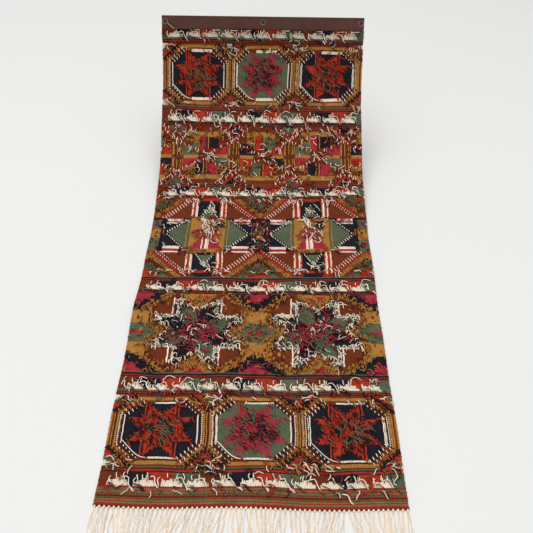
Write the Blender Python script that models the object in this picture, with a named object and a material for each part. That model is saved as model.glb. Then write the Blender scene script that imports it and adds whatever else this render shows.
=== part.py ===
# A long narrow woven wall tapestry with a sewn heading tape, three rings and a fringe.
# It hangs by its top edge, swings forward in one even curve and then lies flat.
# Metres. +X is to the viewer's right, +Y goes back to the wall, +Z is up.
# The origin is the middle of the cloth's top edge, at its back face.

import bmesh
import bpy
import math
import numpy as np

# The cloth as it was woven
CLOTH_WIDTH = 0.500
CLOTH_LENGTH = 1.300
CLOTH_THICKNESS = 0.0028
COLUMNS = 16
ROWS = 65
LINE_STEP = 0.001

# How it hangs: upright at the top, bent forward over a short stretch, then easing
# down to level. Lengths are down the cloth, the slope is below the horizontal in degrees
UPRIGHT_LENGTH = 0.040
BEND_LENGTH = 0.060
BEND_SLOPE = 60.0
LEVEL_START = 0.560
EASE_POWER = 1.2
LINE_LENGTH = 1.450

# The top corners are drawn in, and both side edges stray in a slow wave with a ripple
# on it, as hand weaving does. The left edge also swells where its border is widest
CORNER_DRAW = 0.0025
CORNER_REACH = 0.045
EDGE_WAVE = 0.0012
EDGE_WAVE_LENGTH = 0.90
EDGE_RIPPLE = 0.0006
EDGE_RIPPLE_LENGTH = 0.21
EDGE_WAVE_FULL = 0.100
LEFT_EDGE_START = 0.45
RIGHT_EDGE_START = 0.80
SWELL = 0.003
SWELL_DOWN = 0.85
SWELL_REACH = 0.06

# The hem strays up and down in a slow wave, which fades out up the cloth
HEM_WAVE = 0.0018
HEM_WAVE_LENGTH = 0.27
HEM_WAVE_START = 0.90
HEM_WAVE_POWER = 6

# Soft rises and hollows: centre across and down, reach across and down, height in mm
SOFT_FOLDS = (
    (0.03, 0.28, 0.18, 0.20, 3.0),
    (0.27, 0.21, 0.21, 0.18, -2.5),
    (0.49, 0.47, 0.15, 0.16, 5.0),
    (0.15, 0.42, 0.19, 0.11, 2.5),
    (0.37, 0.33, 0.18, 0.13, 2.0),
    (0.02, 0.86, 0.11, 0.14, 3.0),
    (0.47, 0.74, 0.11, 0.12, 2.0),
)
FOLD_START = 0.040
FOLD_FULL = 0.120

# Heading tape and rings
TAPE_HEIGHT = 0.032
TAPE_THICKNESS = 0.0012
TAPE_INSET = 0.0004
TAPE_HEM_WAVE = 0.0006
PIECE_GAP = 0.0003
RING_OUTER = 0.0142
RING_WIRE = 0.0016
RING_DROP = 0.0125
RING_PLACES = (("ring_left", -0.2395), ("ring_centre", 0.000), ("ring_right", 0.2395))
RING_STEPS = 20
WIRE_STEPS = 8

# Fringe of warp ends in small knots
BUNDLES = 65
STRANDS_PER_BUNDLE = 3
STRIP_GAP = 0.0004
STRIP_DEPTH = 0.0012
STRIP_HEIGHT = 0.0020
STRIP_END_INSET = 0.0002
KNOT_DEPTH = 0.0034
KNOT_WIDTH = 0.0034
KNOT_HEIGHT = 0.0019
FIRST_KNOT_INSET = 0.0020
STRAND_WIDTH = 0.0010
STRAND_TIP_WIDTH = 0.0007
STRAND_HEIGHT_SHARE = 0.9
STRAND_LENGTH = 0.0960
STRAND_LENGTH_SPREAD = 0.0045
STRAND_SEGMENTS = 4
STRAND_ROOT_PITCH = 0.00108
STRAND_TIP_PITCH = 0.0020
LEAN = 0.055
LEAN_WAVE = 0.62
LEAN_START = 0.9
SWAY = 0.0016
SWAY_WAVE = 0.34
SWAY_TURNS = 0.9


def slope_at(down):
    bent = UPRIGHT_LENGTH + BEND_LENGTH
    bending = np.interp(down, (UPRIGHT_LENGTH, bent), (90.0, BEND_SLOPE))
    eased = np.clip((down - bent) / (LEVEL_START - bent), 0.0, 1.0) ** EASE_POWER
    return np.radians(np.where(down < bent, bending, BEND_SLOPE * (1.0 - eased)))


# The back face's line from the top edge down, as distances, Y and Z
def hang_line():
    down = np.arange(0.0, LINE_LENGTH, LINE_STEP)
    slope = slope_at(down + LINE_STEP / 2)
    back = -np.concatenate([[0.0], np.cumsum(np.cos(slope) * LINE_STEP)])[:-1]
    height = -np.concatenate([[0.0], np.cumsum(np.sin(slope) * LINE_STEP)])[:-1]
    return down, back, height


LINE_DOWN, LINE_BACK, LINE_HEIGHT = hang_line()
FLOOR_HEIGHT = float(LINE_HEIGHT[-1])


def smooth_ramp(value, start, full):
    t = min(max((value - start) / (full - start), 0.0), 1.0)
    return t * t * (3.0 - 2.0 * t)


# How far the cloth stands off its even curve, towards the viewer
def relief(across, down):
    total = 0.0
    for centre, depth, reach_across, reach_down, height in SOFT_FOLDS:
        a = (across - centre) / reach_across
        d = (down - depth) / reach_down
        total += 0.001 * height * max(1.0 - a * a - d * d, 0.0) ** 2
    return total * smooth_ramp(down, FOLD_START, FOLD_FULL)


def edge_wave(down, start):
    slow = EDGE_WAVE * math.sin(2 * math.pi * (down / EDGE_WAVE_LENGTH + start))
    quick = EDGE_RIPPLE * math.sin(2 * math.pi * (down / EDGE_RIPPLE_LENGTH + start))
    return (slow + quick) * min(down / EDGE_WAVE_FULL, 1.0)


def edge_places(down):
    draw = CORNER_DRAW * max(1.0 - down / CORNER_REACH, 0.0)
    swell = SWELL * math.exp(-((down - SWELL_DOWN) / SWELL_REACH) ** 2)
    left = -CLOTH_WIDTH / 2 + draw + edge_wave(down, LEFT_EDGE_START) - swell
    right = CLOTH_WIDTH / 2 - draw + edge_wave(down, RIGHT_EDGE_START)
    return left, right


def hem_drift(across):
    return HEM_WAVE * math.sin(2 * math.pi * (across / HEM_WAVE_LENGTH + HEM_WAVE_START))


# A point of the cloth: share of the width, distance down, height above the back face
def cloth_point(share, down, above):
    left, right = edge_places(down)
    across = share * CLOTH_WIDTH
    reach = down + hem_drift(across) * (down / CLOTH_LENGTH) ** HEM_WAVE_POWER
    slope = float(slope_at(reach))
    off = relief(across, down) + above
    x = left + (right - left) * share
    y = float(np.interp(reach, LINE_DOWN, LINE_BACK)) - math.sin(slope) * off
    z = float(np.interp(reach, LINE_DOWN, LINE_HEIGHT)) + math.cos(slope) * off
    return x, y, z


def finish_object(name, mesh_data, colour, roughness, metallic=0.0, smooth_angle=40.0):
    mesh = bpy.data.meshes.new(name)
    mesh_data.normal_update()
    bmesh.ops.recalc_face_normals(mesh_data, faces=mesh_data.faces)
    mesh_data.to_mesh(mesh)
    mesh_data.free()
    material = bpy.data.materials.new(name + "_material")
    material.use_nodes = True
    shader = material.node_tree.nodes["Principled BSDF"]
    shader.inputs["Base Color"].default_value = (*colour, 1.0)
    shader.inputs["Roughness"].default_value = roughness
    shader.inputs["Metallic"].default_value = metallic
    mesh.materials.append(material)
    mesh.shade_smooth()
    mesh.set_sharp_from_angle(angle=math.radians(smooth_angle))
    thing = bpy.data.objects.new(name, mesh)
    bpy.context.collection.objects.link(thing)
    return thing


# A closed slab between two equal grids of points, first index down and second across
def slab_between(under, over):
    bm = bmesh.new()
    low = [[bm.verts.new(p) for p in row] for row in under]
    high = [[bm.verts.new(p) for p in row] for row in over]
    rows = len(low)
    columns = len(low[0])
    for i in range(rows - 1):
        for j in range(columns - 1):
            bm.faces.new((high[i][j], high[i + 1][j], high[i + 1][j + 1], high[i][j + 1]))
            bm.faces.new((low[i][j], low[i][j + 1], low[i + 1][j + 1], low[i + 1][j]))
    for i in range(rows - 1):
        bm.faces.new((low[i][0], low[i + 1][0], high[i + 1][0], high[i][0]))
        bm.faces.new((low[i + 1][-1], low[i][-1], high[i][-1], high[i + 1][-1]))
    for j in range(columns - 1):
        bm.faces.new((low[0][j + 1], low[0][j], high[0][j], high[0][j + 1]))
        bm.faces.new((low[-1][j], low[-1][j + 1], high[-1][j + 1], high[-1][j]))
    return bm


def make_panel():
    grids = []
    for above in (0.0, CLOTH_THICKNESS):
        grid = []
        for i in range(ROWS + 1):
            down = CLOTH_LENGTH * i / ROWS
            grid.append([cloth_point(j / COLUMNS, down, above) for j in range(COLUMNS + 1)])
        grids.append(grid)
    panel = slab_between(grids[0], grids[1])
    return finish_object("woven_panel", panel, (0.16, 0.05, 0.025), 0.9)


# The tape lies on the cloth's front face, along its straight top
def make_tape():
    back = -(CLOTH_THICKNESS + PIECE_GAP)
    front = back - TAPE_THICKNESS
    levels = (0.0, TAPE_HEIGHT)
    under, over = [], []
    for level in levels:
        left, right = edge_places(level)
        low_row, high_row = [], []
        for j in range(COLUMNS + 1):
            share = j / COLUMNS
            wave = TAPE_HEM_WAVE * math.sin(11.0 * share) if level > 0.0 else 0.0
            x = left + TAPE_INSET + (right - left - 2 * TAPE_INSET) * share
            low_row.append((x, back, -level - wave))
            high_row.append((x, front, -level - wave))
        under.append(low_row)
        over.append(high_row)
    return finish_object("heading_tape", slab_between(under, over), (0.085, 0.040, 0.030), 0.85)


# A ring lies flat against the tape, sewn to it at its top
def make_ring(name, x):
    radius = (RING_OUTER - RING_WIRE) / 2
    front = -(CLOTH_THICKNESS + PIECE_GAP + TAPE_THICKNESS)
    y = front - PIECE_GAP - RING_WIRE / 2
    bm = bmesh.new()
    loops = []
    for i in range(RING_STEPS):
        turn = 2 * math.pi * i / RING_STEPS
        loop = []
        for k in range(WIRE_STEPS):
            around = 2 * math.pi * k / WIRE_STEPS
            reach = radius + RING_WIRE / 2 * math.cos(around)
            side = RING_WIRE / 2 * math.sin(around)
            loop.append(bm.verts.new((x + reach * math.cos(turn), y + side,
                                      -RING_DROP + reach * math.sin(turn))))
        loops.append(loop)
    for i in range(RING_STEPS):
        here, there = loops[i], loops[(i + 1) % RING_STEPS]
        for k in range(WIRE_STEPS):
            n = (k + 1) % WIRE_STEPS
            bm.faces.new((here[k], here[n], there[n], there[k]))
    return finish_object(name, bm, (0.48, 0.46, 0.42), 0.35, metallic=1.0, smooth_angle=60.0)


# The hem's front line in Y at a share of the width, straight from column to column
def hem_place(share):
    spots = [j / COLUMNS for j in range(COLUMNS + 1)]
    points = [cloth_point(spot, CLOTH_LENGTH, 0.0) for spot in spots]
    x = float(np.interp(share, spots, [p[0] for p in points]))
    y = float(np.interp(x, [p[0] for p in points], [p[1] for p in points]))
    return x, y


# Where a strand runs: its bundle's root, its place in the bundle and the share of its length
def strand_point(root_x, root_y, place, t, length):
    pitch = STRAND_ROOT_PITCH + (STRAND_TIP_PITCH - STRAND_ROOT_PITCH) * t
    lean = -LEAN * math.cos(2 * math.pi * root_x / LEAN_WAVE + LEAN_START)
    sway = SWAY * math.sin(2 * math.pi * (SWAY_TURNS * t + root_x / SWAY_WAVE))
    x = root_x + place * pitch + lean * length * t + sway * t
    return x, root_y - length * t


def floor_vertex(bm, x, y, height):
    return bm.verts.new((x, y, FLOOR_HEIGHT + height))


# The strip along the hem, open in front where each knot grows out of it
def add_strip(bm, knot_places, left_end, right_end):
    spots = [left_end + STRIP_END_INSET]
    for x in knot_places:
        spots += [x - KNOT_WIDTH / 2, x + KNOT_WIDTH / 2]
    spots.append(right_end - STRIP_END_INSET)
    rows = []
    for x in spots:
        back = hem_place((x - left_end) / (right_end - left_end))[1] - STRIP_GAP
        front = back - STRIP_DEPTH
        rows.append((floor_vertex(bm, x, back, 0.0), floor_vertex(bm, x, back, STRIP_HEIGHT),
                     floor_vertex(bm, x, front, STRIP_HEIGHT), floor_vertex(bm, x, front, 0.0)))
    for here, there in zip(rows, rows[1:]):
        bm.faces.new((here[0], here[1], there[1], there[0]))
        bm.faces.new((here[1], here[2], there[2], there[1]))
        bm.faces.new((here[3], here[0], there[0], there[3]))
    bm.faces.new((rows[0][0], rows[0][3], rows[0][2], rows[0][1]))
    bm.faces.new((rows[-1][0], rows[-1][1], rows[-1][2], rows[-1][3]))
    for gap in range(len(knot_places) + 1):
        here, there = rows[2 * gap], rows[2 * gap + 1]
        bm.faces.new((here[3], there[3], there[2], here[2]))
    return rows


# A knot with a flat end, whose strand roots are left open as triangles
def add_knot(bm, left, right, x, y):
    ridge_left = floor_vertex(bm, x - KNOT_WIDTH / 2, y, KNOT_HEIGHT)
    ridge_right = floor_vertex(bm, x + KNOT_WIDTH / 2, y, KNOT_HEIGHT)
    foot_left = floor_vertex(bm, x - KNOT_WIDTH / 2, y, 0.0)
    foot_right = floor_vertex(bm, x + KNOT_WIDTH / 2, y, 0.0)
    roots = []
    for k in range(STRANDS_PER_BUNDLE):
        root_x = x + (k - (STRANDS_PER_BUNDLE - 1) / 2) * STRAND_ROOT_PITCH
        roots.append((floor_vertex(bm, root_x - STRAND_WIDTH / 2, y, 0.0),
                      floor_vertex(bm, root_x + STRAND_WIDTH / 2, y, 0.0),
                      floor_vertex(bm, root_x, y, KNOT_HEIGHT)))
    tops = [root[2] for root in roots]
    feet = [vertex for root in roots for vertex in root[:2]]
    bm.faces.new([left[2], ridge_left, *tops, ridge_right, right[2]])
    bm.faces.new([right[3], foot_right, *reversed(feet), foot_left, left[3]])
    bm.faces.new((left[3], foot_left, ridge_left, left[2]))
    bm.faces.new((right[2], ridge_right, foot_right, right[3]))
    bm.faces.new((foot_left, feet[0], tops[0], ridge_left))
    bm.faces.new((feet[-1], foot_right, ridge_right, tops[-1]))
    for here, there in zip(roots, roots[1:]):
        bm.faces.new((here[1], there[0], there[2], here[2]))
    return roots


# A three-sided strand from its root's triangle, level on the surface to its tip
def add_strand(bm, root, x, y, place, length):
    ring = root
    for step in range(1, STRAND_SEGMENTS + 1):
        t = step / STRAND_SEGMENTS
        here_x, here_y = strand_point(x, y, place, t, length)
        half = (STRAND_WIDTH + (STRAND_TIP_WIDTH - STRAND_WIDTH) * t) / 2
        tall = STRAND_HEIGHT_SHARE * 2 * half
        new_ring = (floor_vertex(bm, here_x - half, here_y, 0.0),
                    floor_vertex(bm, here_x + half, here_y, 0.0),
                    floor_vertex(bm, here_x, here_y, tall))
        for n in range(3):
            m = (n + 1) % 3
            bm.faces.new((ring[n], new_ring[n], new_ring[m], ring[m]))
        ring = new_ring
    bm.faces.new(ring)


def make_fringe():
    bm = bmesh.new()
    left_end, right_end = hem_place(0.0)[0], hem_place(1.0)[0]
    first = left_end + FIRST_KNOT_INSET
    pitch = (right_end - FIRST_KNOT_INSET - first) / (BUNDLES - 1)
    knot_places = [first + pitch * b for b in range(BUNDLES)]
    rows = add_strip(bm, knot_places, left_end, right_end)
    for b, x in enumerate(knot_places):
        hem_y = hem_place((x - left_end) / (right_end - left_end))[1]
        y = hem_y - STRIP_GAP - STRIP_DEPTH - KNOT_DEPTH
        roots = add_knot(bm, rows[2 * b + 1], rows[2 * b + 2], x, y)
        for k, root in enumerate(roots):
            place = k - (STRANDS_PER_BUNDLE - 1) / 2
            uneven = math.sin(2.3 * b + 1.7 * k)
            length = STRAND_LENGTH + STRAND_LENGTH_SPREAD * uneven
            add_strand(bm, root, x, y, place, length)
    return finish_object("fringe", bm, (0.78, 0.66, 0.46), 0.85)


def clear_scene():
    for thing in list(bpy.data.objects):
        bpy.data.objects.remove(thing, do_unlink=True)


clear_scene()
make_panel()
make_tape()
for ring_name, ring_x in RING_PLACES:
    make_ring(ring_name, ring_x)
make_fringe()
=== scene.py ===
import math
import random

import bpy
import numpy as np
from mathutils import Matrix, Vector


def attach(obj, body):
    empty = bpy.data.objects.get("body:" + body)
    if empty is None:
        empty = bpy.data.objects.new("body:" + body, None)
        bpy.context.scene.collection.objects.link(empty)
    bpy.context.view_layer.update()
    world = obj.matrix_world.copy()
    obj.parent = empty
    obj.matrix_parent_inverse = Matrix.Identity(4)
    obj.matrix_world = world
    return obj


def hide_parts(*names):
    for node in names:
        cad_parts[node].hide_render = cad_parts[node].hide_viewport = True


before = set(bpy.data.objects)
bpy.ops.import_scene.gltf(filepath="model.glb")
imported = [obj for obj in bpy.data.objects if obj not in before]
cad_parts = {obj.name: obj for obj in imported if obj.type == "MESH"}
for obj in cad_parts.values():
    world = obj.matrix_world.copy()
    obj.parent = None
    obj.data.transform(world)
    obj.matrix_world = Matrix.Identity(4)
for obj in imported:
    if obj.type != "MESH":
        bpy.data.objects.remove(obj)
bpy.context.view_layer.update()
bpy.ops.object.select_all(action="DESELECT")
print("stage 1: the packed tapestry is loaded")

dice = random.Random(11)

# Dyed wool as it reads on the side with the loose ends
yarnDyes = {
    "brown": "#74351D",
    "gold": "#B27C3C",
    "red": "#B23823",
    "rose": "#AC323E",
    "navy": "#222129",
    "green": "#5D664F",
    "cream": "#F4E4CE",
    "tail": "#DED3C4",
    "tape": "#63453D",
    "hemRed": "#A3321C",
    "hemGreen": "#6A7753",
    "darkBrown": "#46271C",
    "straw": "#FAE5CA",
}
yarnNames = list(yarnDyes)
yarnNumber = {name: number for number, name in enumerate(yarnNames)}


def linearColour(hexText):
    shades = [int(hexText[k:k + 2], 16) / 255 for k in (1, 3, 5)]
    return [s / 12.92 if s <= 0.04045 else ((s + 0.055) / 1.055) ** 2.4 for s in shades]


dyeTable = np.array([linearColour(yarnDyes[name]) for name in yarnNames])

# The cloth as it hangs and lies, the same form as its solid
cloth = {
    "width": 0.500,
    "length": 1.300,
    "thickness": 0.0028,
    "columns": 185,                 # half a pattern step, 2.7 mm
    "foldStart": 0.040,
    "foldFull": 0.120,
    "rowSag": 1.5,                  # how far rows sag at the left edge and climb at the right, mm
    "rowClimb": 6.0,
    "rowWave": 1.4,                 # a slow wave on top of that, mm and metres
    "rowWaveLength": 0.19,
    "wanderAlong": 0.0009,          # how far rows of the pattern stray
    "wanderAcross": 0.0007,
    "calmTop": 0.06,                # rows stray less near the top and the hem
    "calmBottom": 0.05,
    # the waves they stray in: radians in a metre across and down, start, share
    "alongWaves": ((31, 17, 0, 1.0), (77, -29, 1.3, 0.6)),
    "acrossWaves": ((9, 43, 0, 1.0), (0, 97, 2, 0.6)),
    "faceSink": 0.0004,             # the weave's face lies this far under the full thickness
    "surfaceUneven": 0.00022,
    "dyeSpread": 0.045,             # how far the dye differs from face to face
    "paintedEndShadow": 0.55,             # how deep the painted shadow under crowded loose ends darkens the weave
}
# Upright at its top, bent forward over a short stretch, then easing down to level
hang = {
    "step": 0.001,
    "line": 1.450,
    "upright": 0.040,
    "bend": 0.060,
    "bendSlope": 60.0,              # degrees below the horizontal
    "levelStart": 0.560,
    "easePower": 1.2,
}
# Top corners drawn in, a slow wave and a ripple down both side edges, a swell on the left
selvedge = {
    "draw": 0.0025,
    "drawReach": 0.045,
    "wave": 0.0012,
    "waveLength": 0.90,
    "ripple": 0.0006,
    "rippleLength": 0.21,
    "waveFull": 0.100,
    "leftStart": 0.45,
    "rightStart": 0.80,
    "swell": 0.003,
    "swellDown": 0.85,
    "swellReach": 0.06,
}
# The hem strays in a slow wave that fades out up the cloth
hemStray = {"wave": 0.0018, "waveLength": 0.27, "start": 0.90, "power": 6}
# centre across and down, reach across and down, height in mm
softFolds = (
    (0.03, 0.28, 0.18, 0.20, 3.0),
    (0.27, 0.21, 0.21, 0.18, -2.5),
    (0.49, 0.47, 0.15, 0.16, 5.0),
    (0.15, 0.42, 0.19, 0.11, 2.5),
    (0.37, 0.33, 0.18, 0.13, 2.0),
    (0.02, 0.86, 0.11, 0.14, 3.0),
    (0.47, 0.74, 0.11, 0.12, 2.0),
)


def slopeAt(down):
    bent = hang["upright"] + hang["bend"]
    bending = np.interp(down, (hang["upright"], bent), (90.0, hang["bendSlope"]))
    eased = np.clip((down - bent) / (hang["levelStart"] - bent), 0, 1) ** hang["easePower"]
    return np.radians(np.where(down < bent, bending, hang["bendSlope"] * (1 - eased)))


lineDown = np.arange(0.0, hang["line"], hang["step"])
lineSlope = slopeAt(lineDown + hang["step"] / 2)
lineBack = -np.concatenate([[0.0], np.cumsum(np.cos(lineSlope)) * hang["step"]])[:-1]
lineHeight = -np.concatenate([[0.0], np.cumsum(np.sin(lineSlope)) * hang["step"]])[:-1]
floorHeight = float(lineHeight[-1])


def edgeWave(down, start):
    slow = selvedge["wave"] * np.sin(2 * np.pi * (down / selvedge["waveLength"] + start))
    quick = selvedge["ripple"] * np.sin(2 * np.pi * (down / selvedge["rippleLength"] + start))
    return (slow + quick) * np.clip(down / selvedge["waveFull"], 0, 1)


def edgePlaces(down):
    draw = selvedge["draw"] * np.clip(1 - down / selvedge["drawReach"], 0, 1)
    swell = selvedge["swell"] * np.exp(-((down - selvedge["swellDown"]) / selvedge["swellReach"]) ** 2)
    left = -cloth["width"] / 2 + draw + edgeWave(down, selvedge["leftStart"]) - swell
    right = cloth["width"] / 2 - draw + edgeWave(down, selvedge["rightStart"])
    return left, right


# Slow waves over the cloth, added up
def addedWaves(across, down, waves):
    return sum(size * np.sin(across * a + down * d + start) for a, d, start, size in waves)


# World points of places on the cloth: metres across, down and above its back face
def onCloth(across, down, above):
    across, down, above = np.broadcast_arrays(
        np.asarray(across, float), np.asarray(down, float), np.asarray(above, float))
    share = across / cloth["width"]
    calm = (np.clip(down / cloth["calmTop"], 0, 1)
            * np.clip((cloth["length"] - down) / cloth["calmBottom"], 0, 1))
    aside = 2 * share - 1
    arch = np.sin(np.pi * np.clip(down / cloth["length"], 0, 1)) ** 2
    lean = -aside * np.where(aside < 0, cloth["rowSag"], cloth["rowClimb"]) * arch
    wave = cloth["rowWave"] * np.sin(2 * np.pi * down / cloth["rowWaveLength"]) * aside * calm
    down = down + 0.001 * (lean + wave)
    down = down + cloth["wanderAlong"] * calm * addedWaves(across, down, cloth["alongWaves"])
    sides = addedWaves(across, down, cloth["acrossWaves"])
    share = share + cloth["wanderAcross"] / cloth["width"] * calm * sides * np.sin(np.pi * share)
    left, right = edgePlaces(down)
    stray = hemStray["wave"] * np.sin(2 * np.pi * (across / hemStray["waveLength"] + hemStray["start"]))
    reach = down + stray * (np.clip(down, 0, None) / cloth["length"]) ** hemStray["power"]
    off = np.zeros_like(reach)
    for centre, depth, reachAcross, reachDown, height in softFolds:
        a = (across - centre) / reachAcross
        d = (down - depth) / reachDown
        off = off + 0.001 * height * np.clip(1 - a * a - d * d, 0, None) ** 2
    t = np.clip((down - cloth["foldStart"]) / (cloth["foldFull"] - cloth["foldStart"]), 0, 1)
    off = off * t * t * (3 - 2 * t) + above
    slope = slopeAt(reach)
    x = left + (right - left) * share
    y = np.interp(reach, lineDown, lineBack) - np.sin(slope) * off
    z = np.interp(reach, lineDown, lineHeight) + np.cos(slope) * off
    return np.stack([x, y, z], axis=-1)


# The pattern is charted in millimetres, on a sheet of 1 mm squares
clothLong, clothWide = 1300, 500
chart = np.full((clothLong, clothWide), yarnNumber["brown"])
chartDown, chartAcross = np.mgrid[0:clothLong, 0:clothWide] + 0.5
ridges = []     # across, first and last down, yarn, width: raised colour joins
floats = []     # across, down, length, width, lean, yarn: short floats on slanted steps
ends = []       # across, down, aim, turn, length, yarn, rise: loose yarn ends
placed = []     # points, yarn, rise: loose ends laid through points that a pattern rule gives
corners = ((-1, -1), (-1, 1), (1, -1), (1, 1))      # the ways across and up from a middle


def clearOfEdges(across, gap=2):
    return gap < across < clothWide - gap


def paintBlock(left, top, right, bottom, yarn):
    rows = slice(max(int(round(top)), 0), int(round(bottom)))
    columns = slice(max(int(round(left)), 0), max(int(round(right)), 0))
    chart[rows, columns] = yarnNumber[yarn]


def paintShape(points, yarn):
    across, down = zip(*points)
    rows = slice(max(int(min(down)), 0), min(int(max(down)) + 1, clothLong))
    columns = slice(max(int(min(across)), 0), max(min(int(max(across)) + 1, clothWide), 0))
    x, y = chartAcross[rows, columns], chartDown[rows, columns]
    inside = np.zeros(x.shape, bool)
    for (ax, ay), (bx, by) in zip(points, points[1:] + points[:1]):
        if ay == by:
            continue
        crosses = (ay > y) != (by > y)
        inside ^= crosses & (x < ax + (y - ay) * (bx - ax) / (by - ay))
    chart[rows, columns][inside] = yarnNumber[yarn]


def ridge(across, top, bottom, yarn, width=2.7):
    if clearOfEdges(across, 0):
        ridges.append((across, top, bottom, yarn, width))


def floatRow(start, finish, yarn, spacing=5.4, length=7.0, width=2.2):
    (ax, ay), (bx, by) = start, finish
    steps = max(int(math.hypot(bx - ax, by - ay) / (spacing * 1.41)), 1)
    for k in range(steps + 1):
        across = ax + (bx - ax) * k / steps
        down = ay + (by - ay) * k / steps
        if clearOfEdges(across):
            floats.append((across + dice.uniform(-0.4, 0.4), down + dice.uniform(-0.5, 0.5),
                           length * dice.uniform(0.8, 1.15), width * dice.uniform(0.85, 1.1),
                           dice.uniform(58, 74), yarn))


def looseEnd(across, down, aim, turn, length, yarn, rise=2.0):
    if clearOfEdges(across, endSettings["clear"]):
        ends.append((across, down, aim, turn, length, yarn, rise))


# An end laid through given points
def strand(points, yarn, rise=2.0):
    placed.append((points, yarn, rise))


# The soft parted tip of an end
def fray(across, down, aim, turn, length, yarn, rise=2.0):
    for k in (-1, 0, 1):
        looseEnd(across + 0.8 * k, down, aim + 7 * k, turn + 12 * k, length * dice.uniform(0.8, 1.1),
                 yarn, rise)


def tangle(across, down, reachAcross, reachDown, count, yarns, aim=60, spread=50, lengths=(10, 26)):
    for k in range(count):
        angle, far = dice.uniform(0, 2 * math.pi), math.sqrt(dice.random())
        looseEnd(across + reachAcross * far * math.cos(angle),
                 down + reachDown * far * math.sin(angle),
                 aim + dice.uniform(-spread, spread), dice.uniform(-70, 70),
                 dice.uniform(*lengths), dice.choice(yarns), dice.uniform(1.5, 4.5))


# Points given from a middle, turned over to the left or upwards
def turned(points, centre, middle, way=1, up=1):
    return [(centre + way * a, middle + up * d) for a, d in points]


# A painted shape, its upright edges raised and its slanted edges in short floats
def patch(points, yarn, edge=None, length=7.0):
    paintShape(points, yarn)
    if edge:
        trim(points + points[:1], edge, length)


def trim(points, yarn, length=7.0, width=2.2):
    for (ax, ay), (bx, by) in zip(points, points[1:]):
        if abs(bx - ax) < 2 and abs(by - ay) > 8:
            ridge((ax + bx) / 2, ay, by, yarn, 2.6)
        elif abs(by - ay) > 3 and abs(bx - ax) > 3:
            floatRow((ax, ay), (bx, by), yarn, length=length, width=width)


def paintBlocks(blocks):
    for left, top, right, bottom, yarn in blocks:
        paintBlock(left, top, right, bottom, yarn)


# A row of upright strokes along a line, its yarns in turn
def ribbon(points, yarns, pitch=4.8, reach=2.5, length=8.0):
    count = 0
    for (ax, ay), (bx, by) in zip(points, points[1:]):
        steps = max(int(math.hypot(bx - ax, by - ay) / pitch), 1)
        for k in range(steps):
            t = (k + dice.random()) / steps
            yarn = yarns[count % len(yarns)]
            across = ax + (bx - ax) * t + dice.uniform(-1, 1)
            down = ay + (by - ay) * t + dice.uniform(-reach, reach)
            if not clearOfEdges(across):
                continue
            if count % 3:
                floats.append((across, down, length * dice.uniform(0.8, 1.2), dice.uniform(2.1, 2.8),
                               dice.uniform(62, 104), yarn))
            else:
                looseEnd(across, down - length / 2, dice.uniform(68, 108), dice.uniform(-60, 80),
                         length * dice.uniform(0.8, 1.4), yarn, dice.uniform(0.8, 2.2))
            count += 1


# Ends spread evenly over an area, most of them hanging down
def scatter(left, top, right, bottom, count, yarns, lengths=(8, 18), aims=(40, 130)):
    for k in range(count):
        looseEnd(dice.uniform(left, right), dice.uniform(top, bottom), dice.uniform(*aims),
                 dice.uniform(-90, 90), dice.uniform(*lengths), dice.choice(yarns),
                 dice.uniform(1.0, 4.0))


# Hook-shaped ends and upright strokes where one colour meets another
def hooksAlong(yarn, left, top, right, bottom, spacing, lengths=(8, 14), upright=0.4):
    first = max(int(left), 1)
    window = chart[int(top):int(bottom), first:min(int(right), clothWide - 1)] == yarnNumber[yarn]
    places = np.argwhere(window[:, 1:] != window[:, :-1])
    for k in range(int(len(places) / spacing)):
        row, column = places[dice.randrange(len(places))]
        across, down = column + first + 1 + dice.uniform(-1, 1), row + top
        if dice.random() > upright:
            looseEnd(across, down, dice.uniform(-110, -50), dice.uniform(130, 210),
                     dice.uniform(*lengths), yarn, dice.uniform(1.0, 2.5))
        else:
            looseEnd(across, down - 4, dice.uniform(60, 110), dice.uniform(-50, 60),
                     dice.uniform(*lengths) * 0.8, yarn, dice.uniform(0.8, 2.0))


# Short upright streaks of one yarn through an area of another, some woven in and some floating
def streaks(over, yarn, left, top, right, bottom, count, floating=0.5):
    for k in range(count):
        across, down = dice.uniform(left, right), dice.uniform(top, bottom)
        if not clearOfEdges(across) or chart[int(down), int(across)] != yarnNumber[over]:
            continue
        if dice.random() < floating:
            floats.append((across, down, dice.uniform(5, 10), dice.uniform(1.6, 2.4),
                           dice.uniform(70, 110), yarn))
        else:
            paintBlock(across - 1.5, down - dice.uniform(2, 5), across + 1.5, down + dice.uniform(2, 5), yarn)


# The same narrow stripes between all the bands: lower edge as a share of their height
stripeRepeat = ((0.24, "green"), (0.48, "navy"), (0.70, "hemRed"), (0.87, "navy"), (1.0, "brown"))
stripeGroups = ((54, 70), (224, 237), (264, 277), (439, 450), (474, 484), (757, 771), (799, 811),
                (1023, 1036.5), (1062.5, 1076), (1226, 1237))


def stripes():
    for top, bottom in stripeGroups:
        edge = top
        for share, yarn in stripeRepeat:
            limit = top + (bottom - top) * share
            paintBlock(0, edge, clothWide, limit, yarn)
            edge = limit


# Border of coloured blocks with cream hills between them; heights as a share of the band
teeth = {
    "tops": ((28, 54), (237, 264), (450, 474), (771, 799), (1036.5, 1062.5), (1237, 1262)),
    "first": 25.8, "pitch": 43.4, "hills": 11,
    "colours": ("brown", "navy", "red", "green"),
    "hill": ((0.40, 0.56, 2, 13), (0.54, 0.80, -8, 20), (0.78, 0.98, -11, 25)),
    "towers": ((9, 0.08, 0.45, 0.7), (3.5, 0.2, 0.5, 0.3), (-9, 0.45, 0.85, 0.5)),
}
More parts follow.
